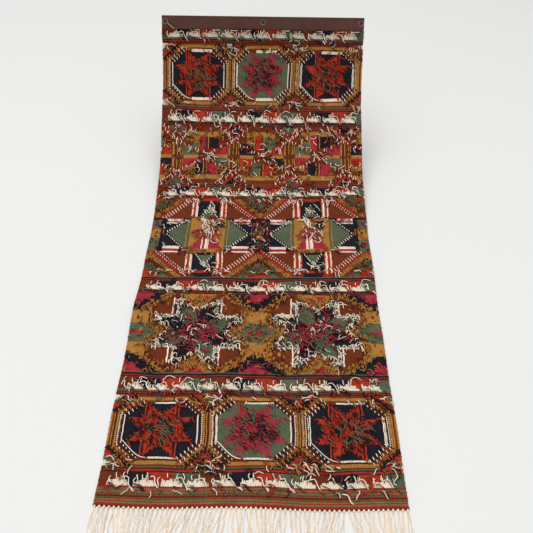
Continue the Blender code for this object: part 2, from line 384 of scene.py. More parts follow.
# points from the hill's own start across and down its band, yarn, chance of it there
toothEnds = (
    (((-11, 0.42), (-13, 0.6), (-12.5, 0.8), (-9, 0.98)), "cream", 0.9),
    (((-0.5, 0.1), (-1.5, 0.25), (0, 0.48)), "cream", 0.8),
    (((13, 0.08), (12, 0.25), (12.8, 0.46)), "cream", 0.85),
    (((11, 0.5), (17, 0.4), (23, 0.45), (24.5, 0.7), (27, 0.98), (32, 1.25)), "cream", 0.9),
    (((22, 0.3), (25, 0.5), (24, 0.75), (28, 0.9)), "tail", 0.4),
    (((13, 0.2), (14, 0.02), (22, -0.05), (30, 0.08)), "tail", 0.5),
    (((17, 0.55), (22, 0.75), (26, 1.0), (33, 1.3)), "block", 0.5),
    (((-8, 0.8), (-2, 0.95), (6, 1.2), (9, 1.35)), "block", 0.8),
    (((-6, 0.9), (-1, 1.05), (4, 1.3)), "block", 0.6),
    (((-3, 0.0), (2, -0.12), (12, 0.1)), "block", 0.6),
    (((3, 0.3), (9, 0.1), (14, 0.3), (13, 0.5)), "block", 0.5),
)


def toothBorder(top, bottom):
    high, pitch = bottom - top, teeth["pitch"]
    for k in range(teeth["hills"] + 1):
        start = teeth["first"] + pitch * k
        yarn = teeth["colours"][k % 4]
        paintBlock(start - pitch + 8, top, start + 8 if k < teeth["hills"] else clothWide, bottom, yarn)
    for k in range(teeth["hills"]):
        start = teeth["first"] + pitch * k + dice.uniform(-1, 1)
        for first, last, left, right in teeth["hill"]:
            paintBlock(start + left, top + high * first, start + right, top + high * last, "cream")
        for across, first, last, chance in teeth["towers"]:
            if dice.random() < chance:
                ridge(start + across + dice.uniform(-1.5, 1.5), top + high * (first + dice.uniform(0, 0.2)),
                      top + high * last, "cream", 2.3)
        # two thin dark brown floats through each cream hill stand for the shade in the gaps between its
        # strands: painted shade
        for across in (-2, 9):
            floats.append((start + across + dice.uniform(-3, 3), top + high * 0.6, 5.5, 1.3,
                           dice.uniform(70, 100), "darkBrown"))
        for points, yarn, chance in toothEnds:
            if dice.random() < chance:
                own = teeth["colours"][(k + 1 if points[0][0] > 5 else k) % 4]
                shift, stretch = dice.uniform(-3, 3), dice.uniform(0.75, 1.15)
                strand([(start + shift + a * stretch + dice.uniform(-2, 2),
                         top + high * (0.5 + (d - 0.5) * stretch) + dice.uniform(-2, 2))
                        for a, d in points], own if yarn == "block" else yarn)
        if dice.random() < 0.7:
            fray(start + 30 + dice.uniform(-4, 4), bottom + 4, dice.uniform(20, 70), 10, 10,
                 dice.choice(("tail", "cream", "red", "green")))
    scatter(4, top - 2, 496, top + 8, 22, ("navy", "red", "green", "cream", "hemRed"), (7, 14))
    scatter(4, bottom - 3, 496, bottom + 8, 34, ("red", "tail", "navy", "green", "rose", "hemGreen"),
            (8, 20), (0, 110))


# Bands of three octagons with eight-pointed stars, framed in cream, brown and gold
octagons = {
    "bands": ((70, 147, 224), (1076, 1151, 1226)),
    "first": 88.5, "pitch": 162,
    "grounds": ("navy", "green", "navy"),
    "stars": ("red", "rose", "red"),
    "knots": ("green", "navy", "green"),
    "halfWidth": 63.5, "halfHeight": 57, "cutCorner": 91,
}
# distance out from the octagon's own edge in mm, and the yarn up to there
flatFrame = ((3.6, "cream"), (6, "darkBrown"), (9.5, "brown"), (16.5, "gold"), (40, "brown"))
sideFrame = ((1.6, "cream"), (4.3, "navy"), (7, "brown"), (10, "cream"), (13.5, "gold"),
             (17.3, "brown"), (20.3, "gold"), (21.6, "brown"), (60, "gold"))
cornerFrame = ((3, "navy"), (8, "darkBrown"), (13, "brown"), (16.5, "gold"), (21, "darkBrown"),
               (27, "navy"), (34.5, "red"), (41.5, "green"), (90, "cream"))
cornerFloats = ((1.5, "cream"), (5.5, "brown"), (9.5, "cream"), (14, "gold"), (19.5, "gold"),
                (24, "navy"), (29, "red"), (33, "red"), (38, "green"))
# An even eight-pointed star, in mm from its middle: its notches, and its points' near and far sides
starSizes = {"notch": 35, "near": 25.5, "far": 53, "dotPitch": 4.6}


def starOutline(centre, middle, size=1.0):
    notch, near, far = [size * starSizes[part] for part in ("notch", "near", "far")]
    half = ((0, -notch), (near, -far), (near, -near), (far, -near), (notch, 0),
            (far, near), (near, near), (near, far), (0, notch))
    return turned(half, centre, middle) + turned(half, centre, middle, -1)[::-1]


def octagonBand(top, middle, bottom):
    centres = [octagons["first"] + octagons["pitch"] * k for k in range(3)]
    rows = slice(top, bottom)
    across, down = chartAcross[rows], chartDown[rows]
    aside = np.min([np.abs(across - c) - (3 if c > 400 else 0) for c in centres], axis=0)
    above = np.abs(down - middle)
    side = aside - octagons["halfWidth"]
    flat = above - octagons["halfHeight"]
    corner = (aside + above - octagons["cutCorner"]) / math.sqrt(2)
    out = np.maximum(np.maximum(side, flat), corner)
    band = chart[rows]
    for frameRows, where in ((flatFrame, out == flat), (sideFrame, out == side),
                             (cornerFrame, out == corner)):
        reached = 0
        for limit, yarn in frameRows:
            band[where & (out >= reached) & (out < limit)] = yarnNumber[yarn]
            reached = limit
    for centre, ground, star, knot in zip(centres, octagons["grounds"], octagons["stars"],
                                          octagons["knots"]):
        band[(out < 0) & (np.abs(across - centre) < 70)] = yarnNumber[ground]
        for up in (-1, 1):
            first, last = sorted((middle + up * 57.3, middle + up * 62.5))
            paintBlock(centre - 34, first, centre - 16, last, "brown")
        paintShape(starOutline(centre, middle), star)
        octagonRelief(centre, middle, star, knot, ground)
    scatter(4, top, 496, top + 14, 30, ("gold", "red", "green", "cream", "navy", "brown"), (8, 18))
    scatter(4, bottom - 14, 496, bottom, 30, ("gold", "red", "green", "cream", "navy", "tail"), (8, 20))


def octagonRelief(centre, middle, star, knot, ground):
    notch, near, far = [starSizes[part] for part in ("notch", "near", "far")]
    for way in (-1, 1):
        for up in (-1, 1):
            first, last = sorted((middle + up * near, middle + up * (far + 6)))
            ridge(centre + way * (near + 4), first, last, star, 3.0)
            ridge(centre + way * (near + 0.7), first, last - 4, ground, 1.8)
            # a dot of the star's yarn at each step of its points' slanted sides
            floatRow((centre + way * (near - 3), middle + up * (far + 1)),
                     (centre + way * 3, middle + up * (notch + 3)), star, starSizes["dotPitch"], 4.6)
            floatRow((centre + way * (far + 2), middle + up * (near - 3)),
                     (centre + way * (notch + 3), middle + up * 3), star, starSizes["dotPitch"], 4.6)
            for a, d in ((near, far), (far, near)):
                if dice.random() < 0.75:
                    looseEnd(centre + way * a, middle + up * d, dice.uniform(15, 75), dice.uniform(-50, 50),
                             dice.uniform(12, 24), star)
            for out, yarn in cornerFloats:
                # floats that cross the frame look long, those that follow it look short
                crossing = way * up > 0
                reach = out * math.sqrt(2) / 2
                floatRow((centre + way * (34 + reach), middle + up * (58 + reach)),
                         (centre + way * (63.5 + reach), middle + up * (28 + reach)), yarn,
                         length=8.2 if crossing else 4.6, width=2.3)
        ridge(centre + way * 64.2, middle - 28, middle + 28, "cream", 2.1)
        ridge(centre + way * 69.2, middle - 30, middle + 30, "darkBrown", 2.2)
        for k in range(14):
            floats.append((centre + way * 71.8, middle - 29 + 4.5 * k, 3.9, 2.4, 84, "cream"))
            floats.append((centre + way * 73.0, middle - 26.7 + 4.5 * k, 2.4, 2.2, 84, "darkBrown"))
        ridge(centre + way * 75.6, middle - 33, middle + 33, "gold", 2.8)
        ridge(centre + way * 80.0, middle - 36, middle + 36, "gold" if way > 0 else "darkBrown", 2.2)
    # one long cream yarn lies along the lower left cut corner
    wide, high, cut = octagons["halfWidth"], octagons["halfHeight"], octagons["cutCorner"]
    strand(turned(((-wide, cut - wide - 4), (high - cut, high), (high - cut + 16, high + 3)),
                  centre, middle), "cream", 0.8)
    for a, d in ((0, -near), (0, near), (-near, 0), (near, 0)):
        patch(turned(((-6, 0), (0, -6), (6, 0), (0, 6)), centre + 0.7 * a, middle + 0.7 * d), knot, knot, 5.0)
    # ground-coloured floats and ends over the star: partly its ground yarn, partly painted shade in the gaps
    # between its ends
    for k in range(120):
        angle, reach = dice.uniform(0, 2 * math.pi), dice.uniform(0.2, 1.05) * far
        floats.append((centre + reach * math.cos(angle), middle + reach * math.sin(angle),
                       dice.uniform(4, 9), 1.7, dice.uniform(50, 115), ground))
    for k in range(96):
        angle, reach = dice.uniform(0, 2 * math.pi), math.sqrt(dice.random())
        looseEnd(centre - 4 + 44 * reach * math.cos(angle), middle - 6 + 42 * reach * math.sin(angle),
                 dice.uniform(35, 66), dice.uniform(-30, 30), dice.uniform(7, 17),
                 dice.choice((star, star, knot, ground, ground)), dice.uniform(0.8, 3.0))
    tangle(centre, middle, 24, 22, 16, (knot, knot, knot, star), 60, 70, (14, 30))
    tangle(centre, middle, 45, 44, 18, (star, ground, ground), 60, 45, (7, 14))
    for way, up in corners:
        tangle(centre + 80 * way, middle + 68 * up, 20, 9, 15,
               ("cream", "tail", "green", "red", "navy", "gold"), 40, 60, (9, 22))
        tangle(centre + 58 * way, middle + 56 * up, 15, 13, 8, ("navy", "red", "gold", "brown"),
               50, 40, (8, 16))


# Crossing zigzags over coloured blocks, the same repeat all the way across
lattice = {
    "top": 277, "bottom": 439, "first": 110.5, "pitch": 139, "repeats": range(-1, 4),
    "peakWidth": 37, "peakDepth": 40,
    "cross": (352, 366),            # the zigzags part above and below a bar of gold
    "stripes": ("gold", "brown", "gold", "brown", "gold"),
}
# One repeat, in mm from the middle of its cross: left, right, top, bottom, and the yarns
# that even and odd repeats take
latticeBlocks = (
    (-40, 34, 290, 302, "gold", "gold"), (-36, -19, 302, 320, "gold", "gold"),
    (-54, -16, 353, 364, "gold", "gold"), (18, 57, 353, 364, "gold", "gold"),
    (-46, 42, 412, 427, "gold", "gold"), (-54, -30, 386, 397, "gold", "gold"),
    (-54, -16, 323, 353, "green", "navy"), (18, 57, 325, 353, "rose", "red"),
    (-54, -18, 364, 387, "rose", "red"), (22, 57, 364, 392, "green", "navy"),
    (-15, -3, 299, 340, "rose", "red"), (8, 34, 302, 334, "navy", "green"),
    (-23, -5, 376, 412, "navy", "green"), (7, 34, 379, 414, "rose", "red"),
)
# the raised upright lines of one repeat: across, top, bottom, and the yarns
latticeLines = (
    (-17, 300, 338, "gold", "gold"), (-1.5, 294, 342, "rose", "red"), (2.5, 300, 338, "navy", "brown"),
    (6.5, 300, 338, "gold", "gold"), (-3, 376, 414, "gold", "gold"), (1, 373, 413, "darkBrown", "navy"),
    (5, 376, 415, "gold", "gold"), (-56, 324, 354, "gold", "gold"), (59, 325, 354, "gold", "gold"),
    (-56, 365, 390, "gold", "gold"), (59, 365, 394, "gold", "gold"),
)


def latticeBand():
    paintBlock(0, lattice["top"], clothWide, lattice["bottom"], "brown")
    for k in lattice["repeats"]:
        centre = lattice["first"] + lattice["pitch"] * k
        for left, right, top, bottom, even, odd in latticeBlocks:
            paintBlock(centre + left, top, centre + right, bottom, odd if k % 2 else even)
        for across, top, bottom, even, odd in latticeLines:
            ridge(centre + across, top, bottom, odd if k % 2 else even, 2.7)
        latticeStripes(centre + lattice["pitch"] / 2)
        for edge, up in ((lattice["top"], 1), (lattice["bottom"], -1)):
            latticePeak(centre + lattice["pitch"] / 2, edge, up, "green" if k % 2 else "navy")
        latticeCross(centre)
        for top in (292, 386):
            for side in (-34, 36):
                scatter(centre + side - 16, top, centre + side + 14, top + 34, 14,
                        ("gold", "gold", "red", "darkBrown"), (8, 14), (-110, 120))
    hooksAlong("gold", 2, 288, 498, 352, 13)
    hooksAlong("gold", 2, 366, 498, 428, 11)
    for yarn in ("navy", "rose", "red", "green"):
        hooksAlong(yarn, 2, 296, 498, 350, 34)
        hooksAlong(yarn, 2, 368, 498, 416, 34)
    scatter(4, 274, 496, 292, 52, ("cream", "red", "navy", "green", "tail", "brown"), (8, 18))
    scatter(4, 424, 496, 442, 52, ("cream", "red", "navy", "green", "tail", "brown"), (8, 18))
    scatter(4, 296, 496, 350, 46, ("navy", "rose", "tail", "cream", "brown"), (10, 20), (-40, 120))
    scatter(4, 368, 496, 420, 54, ("navy", "rose", "tail", "cream", "green"), (10, 22), (-40, 120))


def latticeStripes(centre):
    for first, last in ((320, 355), (364, 396)):
        paintBlock(centre - 12, first, centre + 12, last, "darkBrown")
        for k, yarn in enumerate(lattice["stripes"]):
            ridge(centre + 4.2 * (k - 2), first + dice.uniform(-3, 5), last + dice.uniform(-3, 3), yarn, 2.9)


# Half a diamond on the band's edge, up is 1 where it points down from the top
def latticePeak(centre, edge, up, core):
    wide, tip = lattice["peakWidth"], edge + up * lattice["peakDepth"]
    for narrower, yarn in ((0, "darkBrown"), (10, "red"), (19, core)):
        paintShape([(centre - wide + narrower, edge), (centre + wide - narrower, edge),
                    (centre, tip - up * narrower)], yarn)
    outer = [(centre - wide, edge + up * 4), (centre, tip), (centre + wide, edge + up * 4)]
    ribbon(outer, ("cream", "red"), 3.1, 3.0, 9.0)
    ribbon([(a, d - up * 9) for a, d in outer], ("red", "cream", "red", "brown"), 3.6, 3.5, 8.5)
    tangle(centre, edge + up * 10, 20, 9, 14, (core, core, "red", "tail"), 70, 60, (8, 17))


def latticeCross(centre):
    arm = (lattice["pitch"] / 2 - 3, lattice["cross"][0] - lattice["top"] - lattice["peakDepth"])
    for middle, up in zip(lattice["cross"], (-1, 1)):
        for way in (-1, 1):
            line = turned(((4, 0), arm), centre, middle, way, up)
            ribbon(line, ("cream", "rose", "brown", "cream", "red"), 4.2, 3.6, 9.0)
            ribbon([(a, d - up * 8) for a, d in line], ("red", "brown", "darkBrown", "gold"), 6.0, 4.0, 8.0)
    tangle(centre + 8, sum(lattice["cross"]) / 2, 24, 9, 16, ("cream", "tail", "gold", "red", "navy"),
           15, 60, (10, 20))


# Zigzag halves above and below a row of gold squares and green points
hexagons = {
    "top": 484, "upperLine": 552, "lowerLine": 676, "bottom": 757,
    "flat": 22.5,                   # half the zigzag's flat turn
    "steep": 0.945,                 # mm across for each mm down
    "depth": 62,
}
hexagonCentres = [129.5 + 240.5 * k for k in (0, 1)]
hexagonValleys = [129.5 + 240.5 * (k - 0.5) for k in (0, 1, 2)]
# distance in from the zigzag's outer edge in mm, and the yarn up to there
zigzagRows = ((3, "darkBrown"), (6, "red"), (9, "darkBrown"), (14.5, "red"), (17.5, "brown"),
              (20.5, "gold"), (22.5, "brown"), (26.5, "gold"), (38, "brown"), (51, "green"), (90, "red"))
zigzagFloats = ((1.2, "cream"), (4.4, "red"), (7.6, "cream"), (12.0, "red"), (15.5, "red"),
                (19.0, "gold"), (23.0, "gold"), (27.5, "gold"), (33.0, "darkBrown"))
postRows = ((20, 25, "navy"), (25, 28, "red"), (28, 33, "cream"), (33, 38.8, "red"), (38.8, 41.6, "cream"))
whiteBars = ((553, 557, "rose"), (557, 565, "cream"), (565, 568, "rose"), (568, 572, "cream"),
             (656, 664, "cream"), (664, 671, "rose"), (671, 676, "cream"))


# Half the band: pointing is 1 where the valleys come together at its bottom, -1 at its top
def hexagonHalf(top, bottom, pointing):
    vertex = bottom if pointing > 0 else top
    rows = slice(top, bottom)
    across, down = chartAcross[rows], chartDown[rows]
    flat, steep, depth = hexagons["flat"], hexagons["steep"], hexagons["depth"]
    square = 1 / math.hypot(1, steep)
    fromValley = np.min([np.abs(across - c) for c in hexagonValleys], axis=0)
    deep = (np.abs(vertex - down) * steep + flat - fromValley) * square
    band = chart[rows]
    band[:] = yarnNumber["brown"]
    reached = 0
    for limit, yarn in zigzagRows:
        band[(deep >= reached) & (deep < limit)] = yarnNumber[yarn]
        reached = limit
    for valley in hexagonValleys:
        for way in (-1, 1):
            for inwards, yarn in zigzagFloats:
                crossing = way * pointing > 0
                shift = inwards / square
                near = (valley + way * max(flat - shift, 1), vertex - pointing * max(shift - flat, 0) / steep)
                far = (valley + way * (flat + depth * steep - shift), vertex - pointing * depth)
                floatRow(near, far, yarn, length=8.6 if crossing else 4.8, width=2.3)
        scatter(valley - 34, vertex - pointing * 50 - 14, valley + 34, vertex - pointing * 50 + 14, 54,
                ("green", "green", "red", "brown", "hemGreen"), (7, 13), (70, 115))
        scatter(valley - 18, vertex - pointing * 24 - 8, valley + 18, vertex - pointing * 24 + 8, 12,
                ("gold", "brown", "darkBrown"), (7, 12), (70, 115))
        tangle(valley, vertex - pointing * 66, 40, 5, 16, ("red", "cream", "gold", "green"), 40, 60, (8, 18))
    for centre in hexagonCentres:
        high = top + (9 if pointing > 0 else 4)
        low = bottom - (4 if pointing > 0 else 8)
        for near, far, yarn in postRows:
            for way in (-1, 1):
                first, last = sorted((centre + way * near, centre + way * far))
                paintBlock(first, high - (8 if way > 0 else 0), last, low, yarn)
                if yarn == "cream":
                    ridge(centre + way * (near + far) / 2, high - (7 if way > 0 else 0), low - 2, "cream",
                          0.72 * (far - near))
        paintBlock(centre - 20, top, centre + 20, bottom, "navy")
        edge = vertex - pointing * 68
        paintBlock(centre - 50, min(edge, edge + pointing * 9), centre + 27,
                   max(edge, edge + pointing * 9), "red")
        patch(turned(((-18, -7), (0, -45), (19, -7)), centre, vertex, 1, pointing), "green", "cream", 8.0)
        for k in range(5):
            looseEnd(centre + dice.uniform(-16, 8), vertex - pointing * dice.uniform(28, 46),
                     dice.uniform(40, 70), dice.uniform(-20, 30), dice.uniform(16, 26),
                     "tail" if k % 2 else "cream", 1.0)
        tangle(centre + 6, (top + bottom) / 2 - 8 * pointing, 12, 18, 12, ("cream", "tail", "green", "navy"),
               60, 50, (9, 20))
        for way in (-1, 1):
            tangle(centre + way * 36, edge + pointing * 4, 16, 9, 11, ("cream", "tail", "red", "red"),
                   30, 60, (10, 22))
            streaks("cream", "red", centre + way * 34 - 8, top, centre + way * 34 + 8, bottom, 26)
        ribbon([(centre - 56, edge + pointing * 10), (centre - 24, edge + pointing * 8)],
               ("cream", "cream", "red"), 3.4)
        ribbon([(centre + 24, edge + pointing * 8), (centre + 56, edge + pointing * 10)],
               ("cream", "red", "tail"), 4.2)


def hexagonBand():
    top, bottom = hexagons["upperLine"], hexagons["lowerLine"]
    hexagonHalf(hexagons["top"], top, 1)
    hexagonHalf(bottom, hexagons["bottom"], -1)
    middle = (top + bottom) / 2 - 3
    paintBlock(0, top, clothWide, bottom, "navy")
    paintBlock(0, bottom - 5, clothWide, bottom, "hemRed")
    for valley in hexagonValleys:
        paintBlocks((
            (valley - 13, top + 9, valley + 13, bottom - 6, "green"),
            (valley - 13, middle - 15, valley + 13, middle + 18, "gold"),
            (valley - 8, middle - 28, valley + 4, middle - 23, "rose"),
            (valley + 2, middle + 34, valley + 7, middle + 42, "rose"),
        ))
        for way in (-1, 1):
            ridge(valley + way * 14.5, top + 8, bottom - 8, "navy", 3.2)
            ridge(valley + way * 18.5, top + 40, middle + 2, "gold", 2.4)
        # the side edges stay nearly clear of loose ends
        crowded = 5 if 60 < valley < 440 else 1
        for first, last in ((top + 6, middle - 14), (middle + 18, bottom - 6)):
            streaks("green", "navy", valley - 14, first, valley + 14, last, 12 * crowded)
            streaks("green", "rose", valley - 14, first, valley + 14, last, 5 * crowded)
            scatter(valley - 28, first, valley + 28, last, 8 * crowded,
                    ("rose", "navy", "navy", "green", "tail", "red"), (9, 20), (0, 110))
        streaks("gold", "darkBrown", valley - 14, middle - 15, valley + 14, middle + 18, 5 * crowded)
        scatter(valley - 26, middle - 12, valley + 26, middle + 20, 4 * crowded,
                ("rose", "navy", "green", "cream", "gold", "rose"), (9, 18), (0, 110))
    for centre in hexagonCentres:
        for side in (-1, 1):
            for first, last, yarn in whiteBars:
                left, right = sorted((centre + side * 60, centre + side * 98))
                paintBlock(left, first, right, last, yarn)
            patch(turned(((46, -51), (91, 0), (46, 51)), centre, middle, side), "green")
            for up in (-1, 1):
                floatRow((centre + side * 53, middle + up * 49), (centre + side * 92, middle + up * 5),
                         "cream", 5.2, 9.2 if side * up > 0 else 5.0, 2.6)
            floatRow((centre + side * 58, middle - 50), (centre + side * 96, middle - 8), "navy", 5.4, 8.0)
            left, right = sorted((centre + side * 41, centre + side * 51))
            paintBlock(left, top + 4, right, bottom - 6, "green")
            ridge(centre + side * 43.2, top + 8, bottom - 10, "green", 2.6)
            ridge(centre + side * 46.8, top + 10, bottom - 12, "gold", 3.0)
            left, right = sorted((centre + side * 56, centre + side * 84))
            scatter(left, middle - 52, right, middle - 38, 9, ("cream", "tail", "rose", "navy"),
                    (9, 18), (-20, 60))
            left, right = sorted((centre + side * 40, centre + side * 60))
            scatter(left, bottom - 16, right, bottom, 7, ("navy", "cream", "gold", "rose"),
                    (9, 16), (-20, 80))
        paintBlock(centre - 41, top + 2, centre + 41, bottom, "gold")
        patch(turned(((-35, 54), (0, -8), (35, 54)), centre, middle), "rose", "rose", 6.5)
        paintBlocks((
            (centre - 11.5, middle + 16, centre - 7.5, middle + 54, "cream"),
            (centre - 7.5, middle + 16, centre - 4, middle + 54, "rose"),
            (centre - 4, middle + 16, centre + 4.5, middle + 54, "cream"),
            (centre + 4.5, middle + 20, centre + 8, middle + 54, "rose"),
        ))
        ridge(centre - 9.5, middle + 14, middle + 54, "cream", 3.2)
        ridge(centre - 0.2, middle + 18, middle + 54, "cream", 5.4)
        looseEnd(centre + 8, middle + 20, 90, -200, 44, "cream", 0.8)
        for side in (-1, 1):
            ribbon(turned(((34, 50), (5, -14)), centre, middle, side), ("rose", "gold"), 5.0)
            ribbon(turned(((28, 16), (20, -4)), centre, middle, side), ("rose", "gold"), 4.0)
        # a bundle of long ends falls from the square's upper left to its middle
        for k in range(7):
            looseEnd(centre + dice.uniform(-20, -8), middle + dice.uniform(-64, -52), dice.uniform(52, 80),
                     dice.uniform(-15, 35), dice.uniform(26, 42), ("cream", "tail", "cream")[k % 3],
                     dice.uniform(1.5, 3.0))
            looseEnd(centre + dice.uniform(-8, 5), middle + dice.uniform(-28, -8), dice.uniform(45, 115),
                     dice.uniform(-40, 40), dice.uniform(22, 36), ("rose", "cream", "tail")[k % 3],
                     dice.uniform(1.5, 3.0))
        tangle(centre + 12, middle - 34, 15, 12, 26, ("navy", "navy", "cream"), 20, 60, (10, 18))
        tangle(centre + 14, middle - 8, 12, 12, 14, ("navy", "rose", "cream"), 70, 50, (9, 16))
        tangle(centre - 4, middle - 16, 18, 22, 30, ("cream", "rose", "rose", "tail", "red"),
               80, 60, (10, 22))
        tangle(centre - 16, middle - 2, 14, 12, 16, ("rose", "rose", "gold"), 120, 60, (10, 18))
        scatter(centre - 34, top, centre + 34, top + 12, 18, ("gold", "rose", "red", "cream", "green"),
                (8, 18), (-20, 100))
        scatter(centre - 36, bottom - 10, centre + 36, bottom + 2, 18, ("gold", "rose", "red", "green"),
                (8, 16), (-20, 100))
        hooksAlong("gold", centre - 40, top, centre + 40, middle - 20, 22)


# Two large eight-petalled stars with nested lozenges between them
bigStars = {
    "top": 811, "bottom": 1023, "middle": 916,
    "notch": 52, "near": 39, "far": 77,     # as in starSizes
    "border": 1.6,                          # the brown star round the petals
    "endPitch": 5.8,                        # a loose cream end at each of these along its outline
    # triangles round a lozenge's middle: their base, the way they point, then half width,
    # depth, yarn and steps of those that lie one in another
    "triangles": (
        (811, 1, ((70, 60, "gold", 9), (58, 50, "navy", 7), (27, 28, "rose", 4))),
        (1023, -1, ((72, 58, "gold", 9), (58, 44, "navy", 7), (30, 22, "rose", 4))),
        (922, 1, ((52, 50, "gold", 7), (42, 33, "green", 6), (16, 6, "rose", 2))),
        (922, -1, ((52, 50, "gold", 7), (42, 33, "green", 6), (16, 6, "rose", 2))),
    ),
}
bigStarCentres = [130 + 240 * k for k in (0, 1)]
lozengeCentres = [130 + 240 * (k - 0.5) for k in (0, 1, 2)]


# Eight petals, green and navy in turn, with cream lines and bars at their points
def bigStar(centre, middle):
    notch, near, far = [bigStars[part] for part in ("notch", "near", "far")]
    patch(starOutline(centre, middle, bigStars["border"]), "brown")
    for way, up in corners:
        bar = dice.uniform(6, 10)
        paintShape(turned(((near + 4, near - 2), (far + 8, near - 2), (far + 4, near - 2 + bar),
                           (near + 4, near - 2 + bar)), centre, middle, way, up), "cream")
        paintShape(turned(((near - 8, far - 6), (near + 6, far - 2), (near + 8, far + 14),
                           (near - 2, far + 6)), centre, middle, way, up), "cream")
        tall, wide = ("green", "navy") if way == up else ("navy", "green")
        patch(turned(((0, 0), (0, notch), (near, far), (near, near)), centre, middle, way, up),
              tall, tall, 6.0)
        patch(turned(((0, 0), (near, near), (far, near), (notch, 0)), centre, middle, way, up),
              wide, wide, 6.0)
        ridge(centre + way * (near + 10), middle + up * (near + 6), middle + up * (far + 14), "cream", 3.6)
        ridge(centre + way * near, middle + up * near, middle + up * (far - 4), "cream", 2.6)
    for size, yarn in ((30, "rose"), (11, "navy")):
        paintShape(turned(((-size, 0), (0, -size), (size, 0), (0, size)), centre, middle), yarn)


# A triangle in pattern steps, its base on the edge
def stepped(centre, edge, halfWidth, depth, toward, yarn, steps=7):
    for k in range(steps):
        width = halfWidth * (1 - k / steps)
        first, last = sorted((edge + toward * depth * k / steps, edge + toward * depth * (k + 1) / steps))
        paintBlock(centre - width, first, centre + width, last, yarn)


def starBand():
    top, bottom, middle = bigStars["top"], bigStars["bottom"], bigStars["middle"]
    paintBlock(0, top, clothWide, bottom, "brown")
    for centre in bigStarCentres:
        stepped(centre, top, 34, 46, 1, "gold")
        stepped(centre + 14, top + 6, 12, 16, 1, "rose", 4)
        stepped(centre + 2, bottom, 36, 38, -1, "gold")
        stepped(centre + 6, bottom, 17, 18, -1, "rose", 4)
    for centre in lozengeCentres:
        for edge, toward, triangles in bigStars["triangles"]:
            for halfWidth, depth, yarn, steps in triangles:
                stepped(centre, edge, halfWidth, depth, toward, yarn, steps)
        paintBlock(centre - 25, middle - 54, centre + 25, middle - 20, "gold")
        paintBlock(centre - 25, middle + 32, centre + 25, middle + 62, "gold")
        for way in (-1, 1):
            for first, last in ((middle - 54, middle - 18), (middle + 34, middle + 60)):
                ridge(centre + way * 26, first, last, "darkBrown", 3.0)
                ridge(centre + way * 29, first, last, "gold", 2.4)
                ridge(centre + way * 32, first, last, "darkBrown", 2.4)
    for centre in bigStarCentres:
        bigStar(centre, middle)
        starEnds(centre, middle, starOutline(centre, middle, bigStars["border"]))
    for centre in lozengeCentres:
        # the side edges stay nearly clear of streaks and loose ends
        crowded = 3 if 60 < centre < 440 else 1
        hooksAlong("brown", centre - 80, top, centre + 80, bottom, 7, (9, 14))
        hooksAlong("gold", centre - 80, top, centre + 80, bottom, 3.4, (9, 14))
        scatter(centre - 66, middle - 40, centre + 66, middle + 50, 9 * crowded, ("gold", "brown"),
                (8, 13), (-110, 110))
        hooksAlong("navy", centre - 60, top, centre + 60, bottom, 9)
        hooksAlong("rose", centre - 32, top, centre + 32, bottom, 8)
        hooksAlong("green", centre - 44, top, centre + 44, bottom, 6)
        scatter(centre - 50, middle - 24, centre + 50, middle + 36, 6 * crowded,
                ("gold", "green", "green", "brown"), (9, 16), (-110, 110))
        streaks("gold", "brown", centre - 74, top, centre + 74, bottom, 90 * crowded, 0.3)
        streaks("brown", "gold", centre - 84, top, centre + 84, bottom, 20 * crowded, 0.3)
        streaks("green", "gold", centre - 46, middle - 34, centre + 46, middle + 46, 6 * crowded)
        streaks("green", "rose", centre - 30, middle - 16, centre + 30, middle + 28, 6 * crowded)
        streaks("navy", "gold", centre - 60, top, centre + 60, bottom, 22 * crowded)
        scatter(centre - 50, top + 4, centre + 50, top + 44, 14, ("navy", "gold", "rose"), (9, 18), (20, 110))
        scatter(centre - 50, bottom - 40, centre + 50, bottom, 16, ("navy", "gold", "rose"),
                (9, 20), (-20, 110))
    for centre in bigStarCentres:
        hooksAlong("gold", centre - 40, top, centre + 40, top + 50, 4, (10, 18), 0.7)
        hooksAlong("gold", centre - 40, bottom - 50, centre + 40, bottom, 4, (10, 16), 0.5)
        scatter(centre - 26, top + 4, centre + 26, top + 42, 24, ("gold", "gold", "brown", "rose"),
                (10, 20), (65, 110))
        tangle(centre, bottom - 20, 30, 14, 16, ("gold", "gold", "rose"), 60, 60, (10, 18))


def starEnds(centre, middle, outline):
    for (ax, ay), (bx, by) in zip(outline, outline[1:] + outline[:1]):
        length = math.hypot(bx - ax, by - ay)
        for k in range(int(length / bigStars["endPitch"])):
            t = (k + dice.uniform(0.1, 0.9)) * bigStars["endPitch"] / length
            strandYarn = "cream" if dice.random() < 0.75 else "tail"
            across, down = ax + (bx - ax) * t, ay + (by - ay) * t
            if dice.random() < 0.45:
                looseEnd(across, down, dice.uniform(-100, -50), dice.uniform(120, 200),
                         dice.uniform(10, 18), strandYarn, dice.uniform(1.0, 2.6))
            else:
                looseEnd(across, down - 3, dice.uniform(60, 105), dice.uniform(-60, 60),
                         dice.uniform(8, 17), strandYarn, dice.uniform(0.8, 2.2))
    near, far = bigStars["near"], bigStars["far"]
    for over, yarn, reach, count in (
            ("navy", "rose", far, 60), ("navy", "tail", far, 26), ("green", "rose", far, 60),
            ("green", "tail", far, 26), ("navy", "green", far, 60), ("green", "navy", far, 60),
            ("rose", "navy", 32, 60)):
        streaks(over, yarn, centre - reach, middle - reach, centre + reach, middle + reach, count)
    tangle(centre, middle, 42, 36, 90, ("rose", "rose", "rose", "rose", "navy", "green"), 60, 60, (12, 28))
    tangle(centre, middle, 62, 54, 64, ("rose", "rose", "navy", "green", "tail"), 50, 60, (12, 26))
    tangle(centre + 6, middle - 12, 16, 9, 8, ("tail", "cream", "rose"), 60, 60, (12, 24))
    for way, up in corners:
        tangle(centre + way * near, middle + up * far, 13, 16, 10,
               ("cream", "tail", "navy", "green"), 60, 60, (10, 24))
        tangle(centre + way * far, middle + up * (near - 8), 17, 12, 10,
               ("cream", "tail", "navy", "green"), 50, 60, (10, 24))


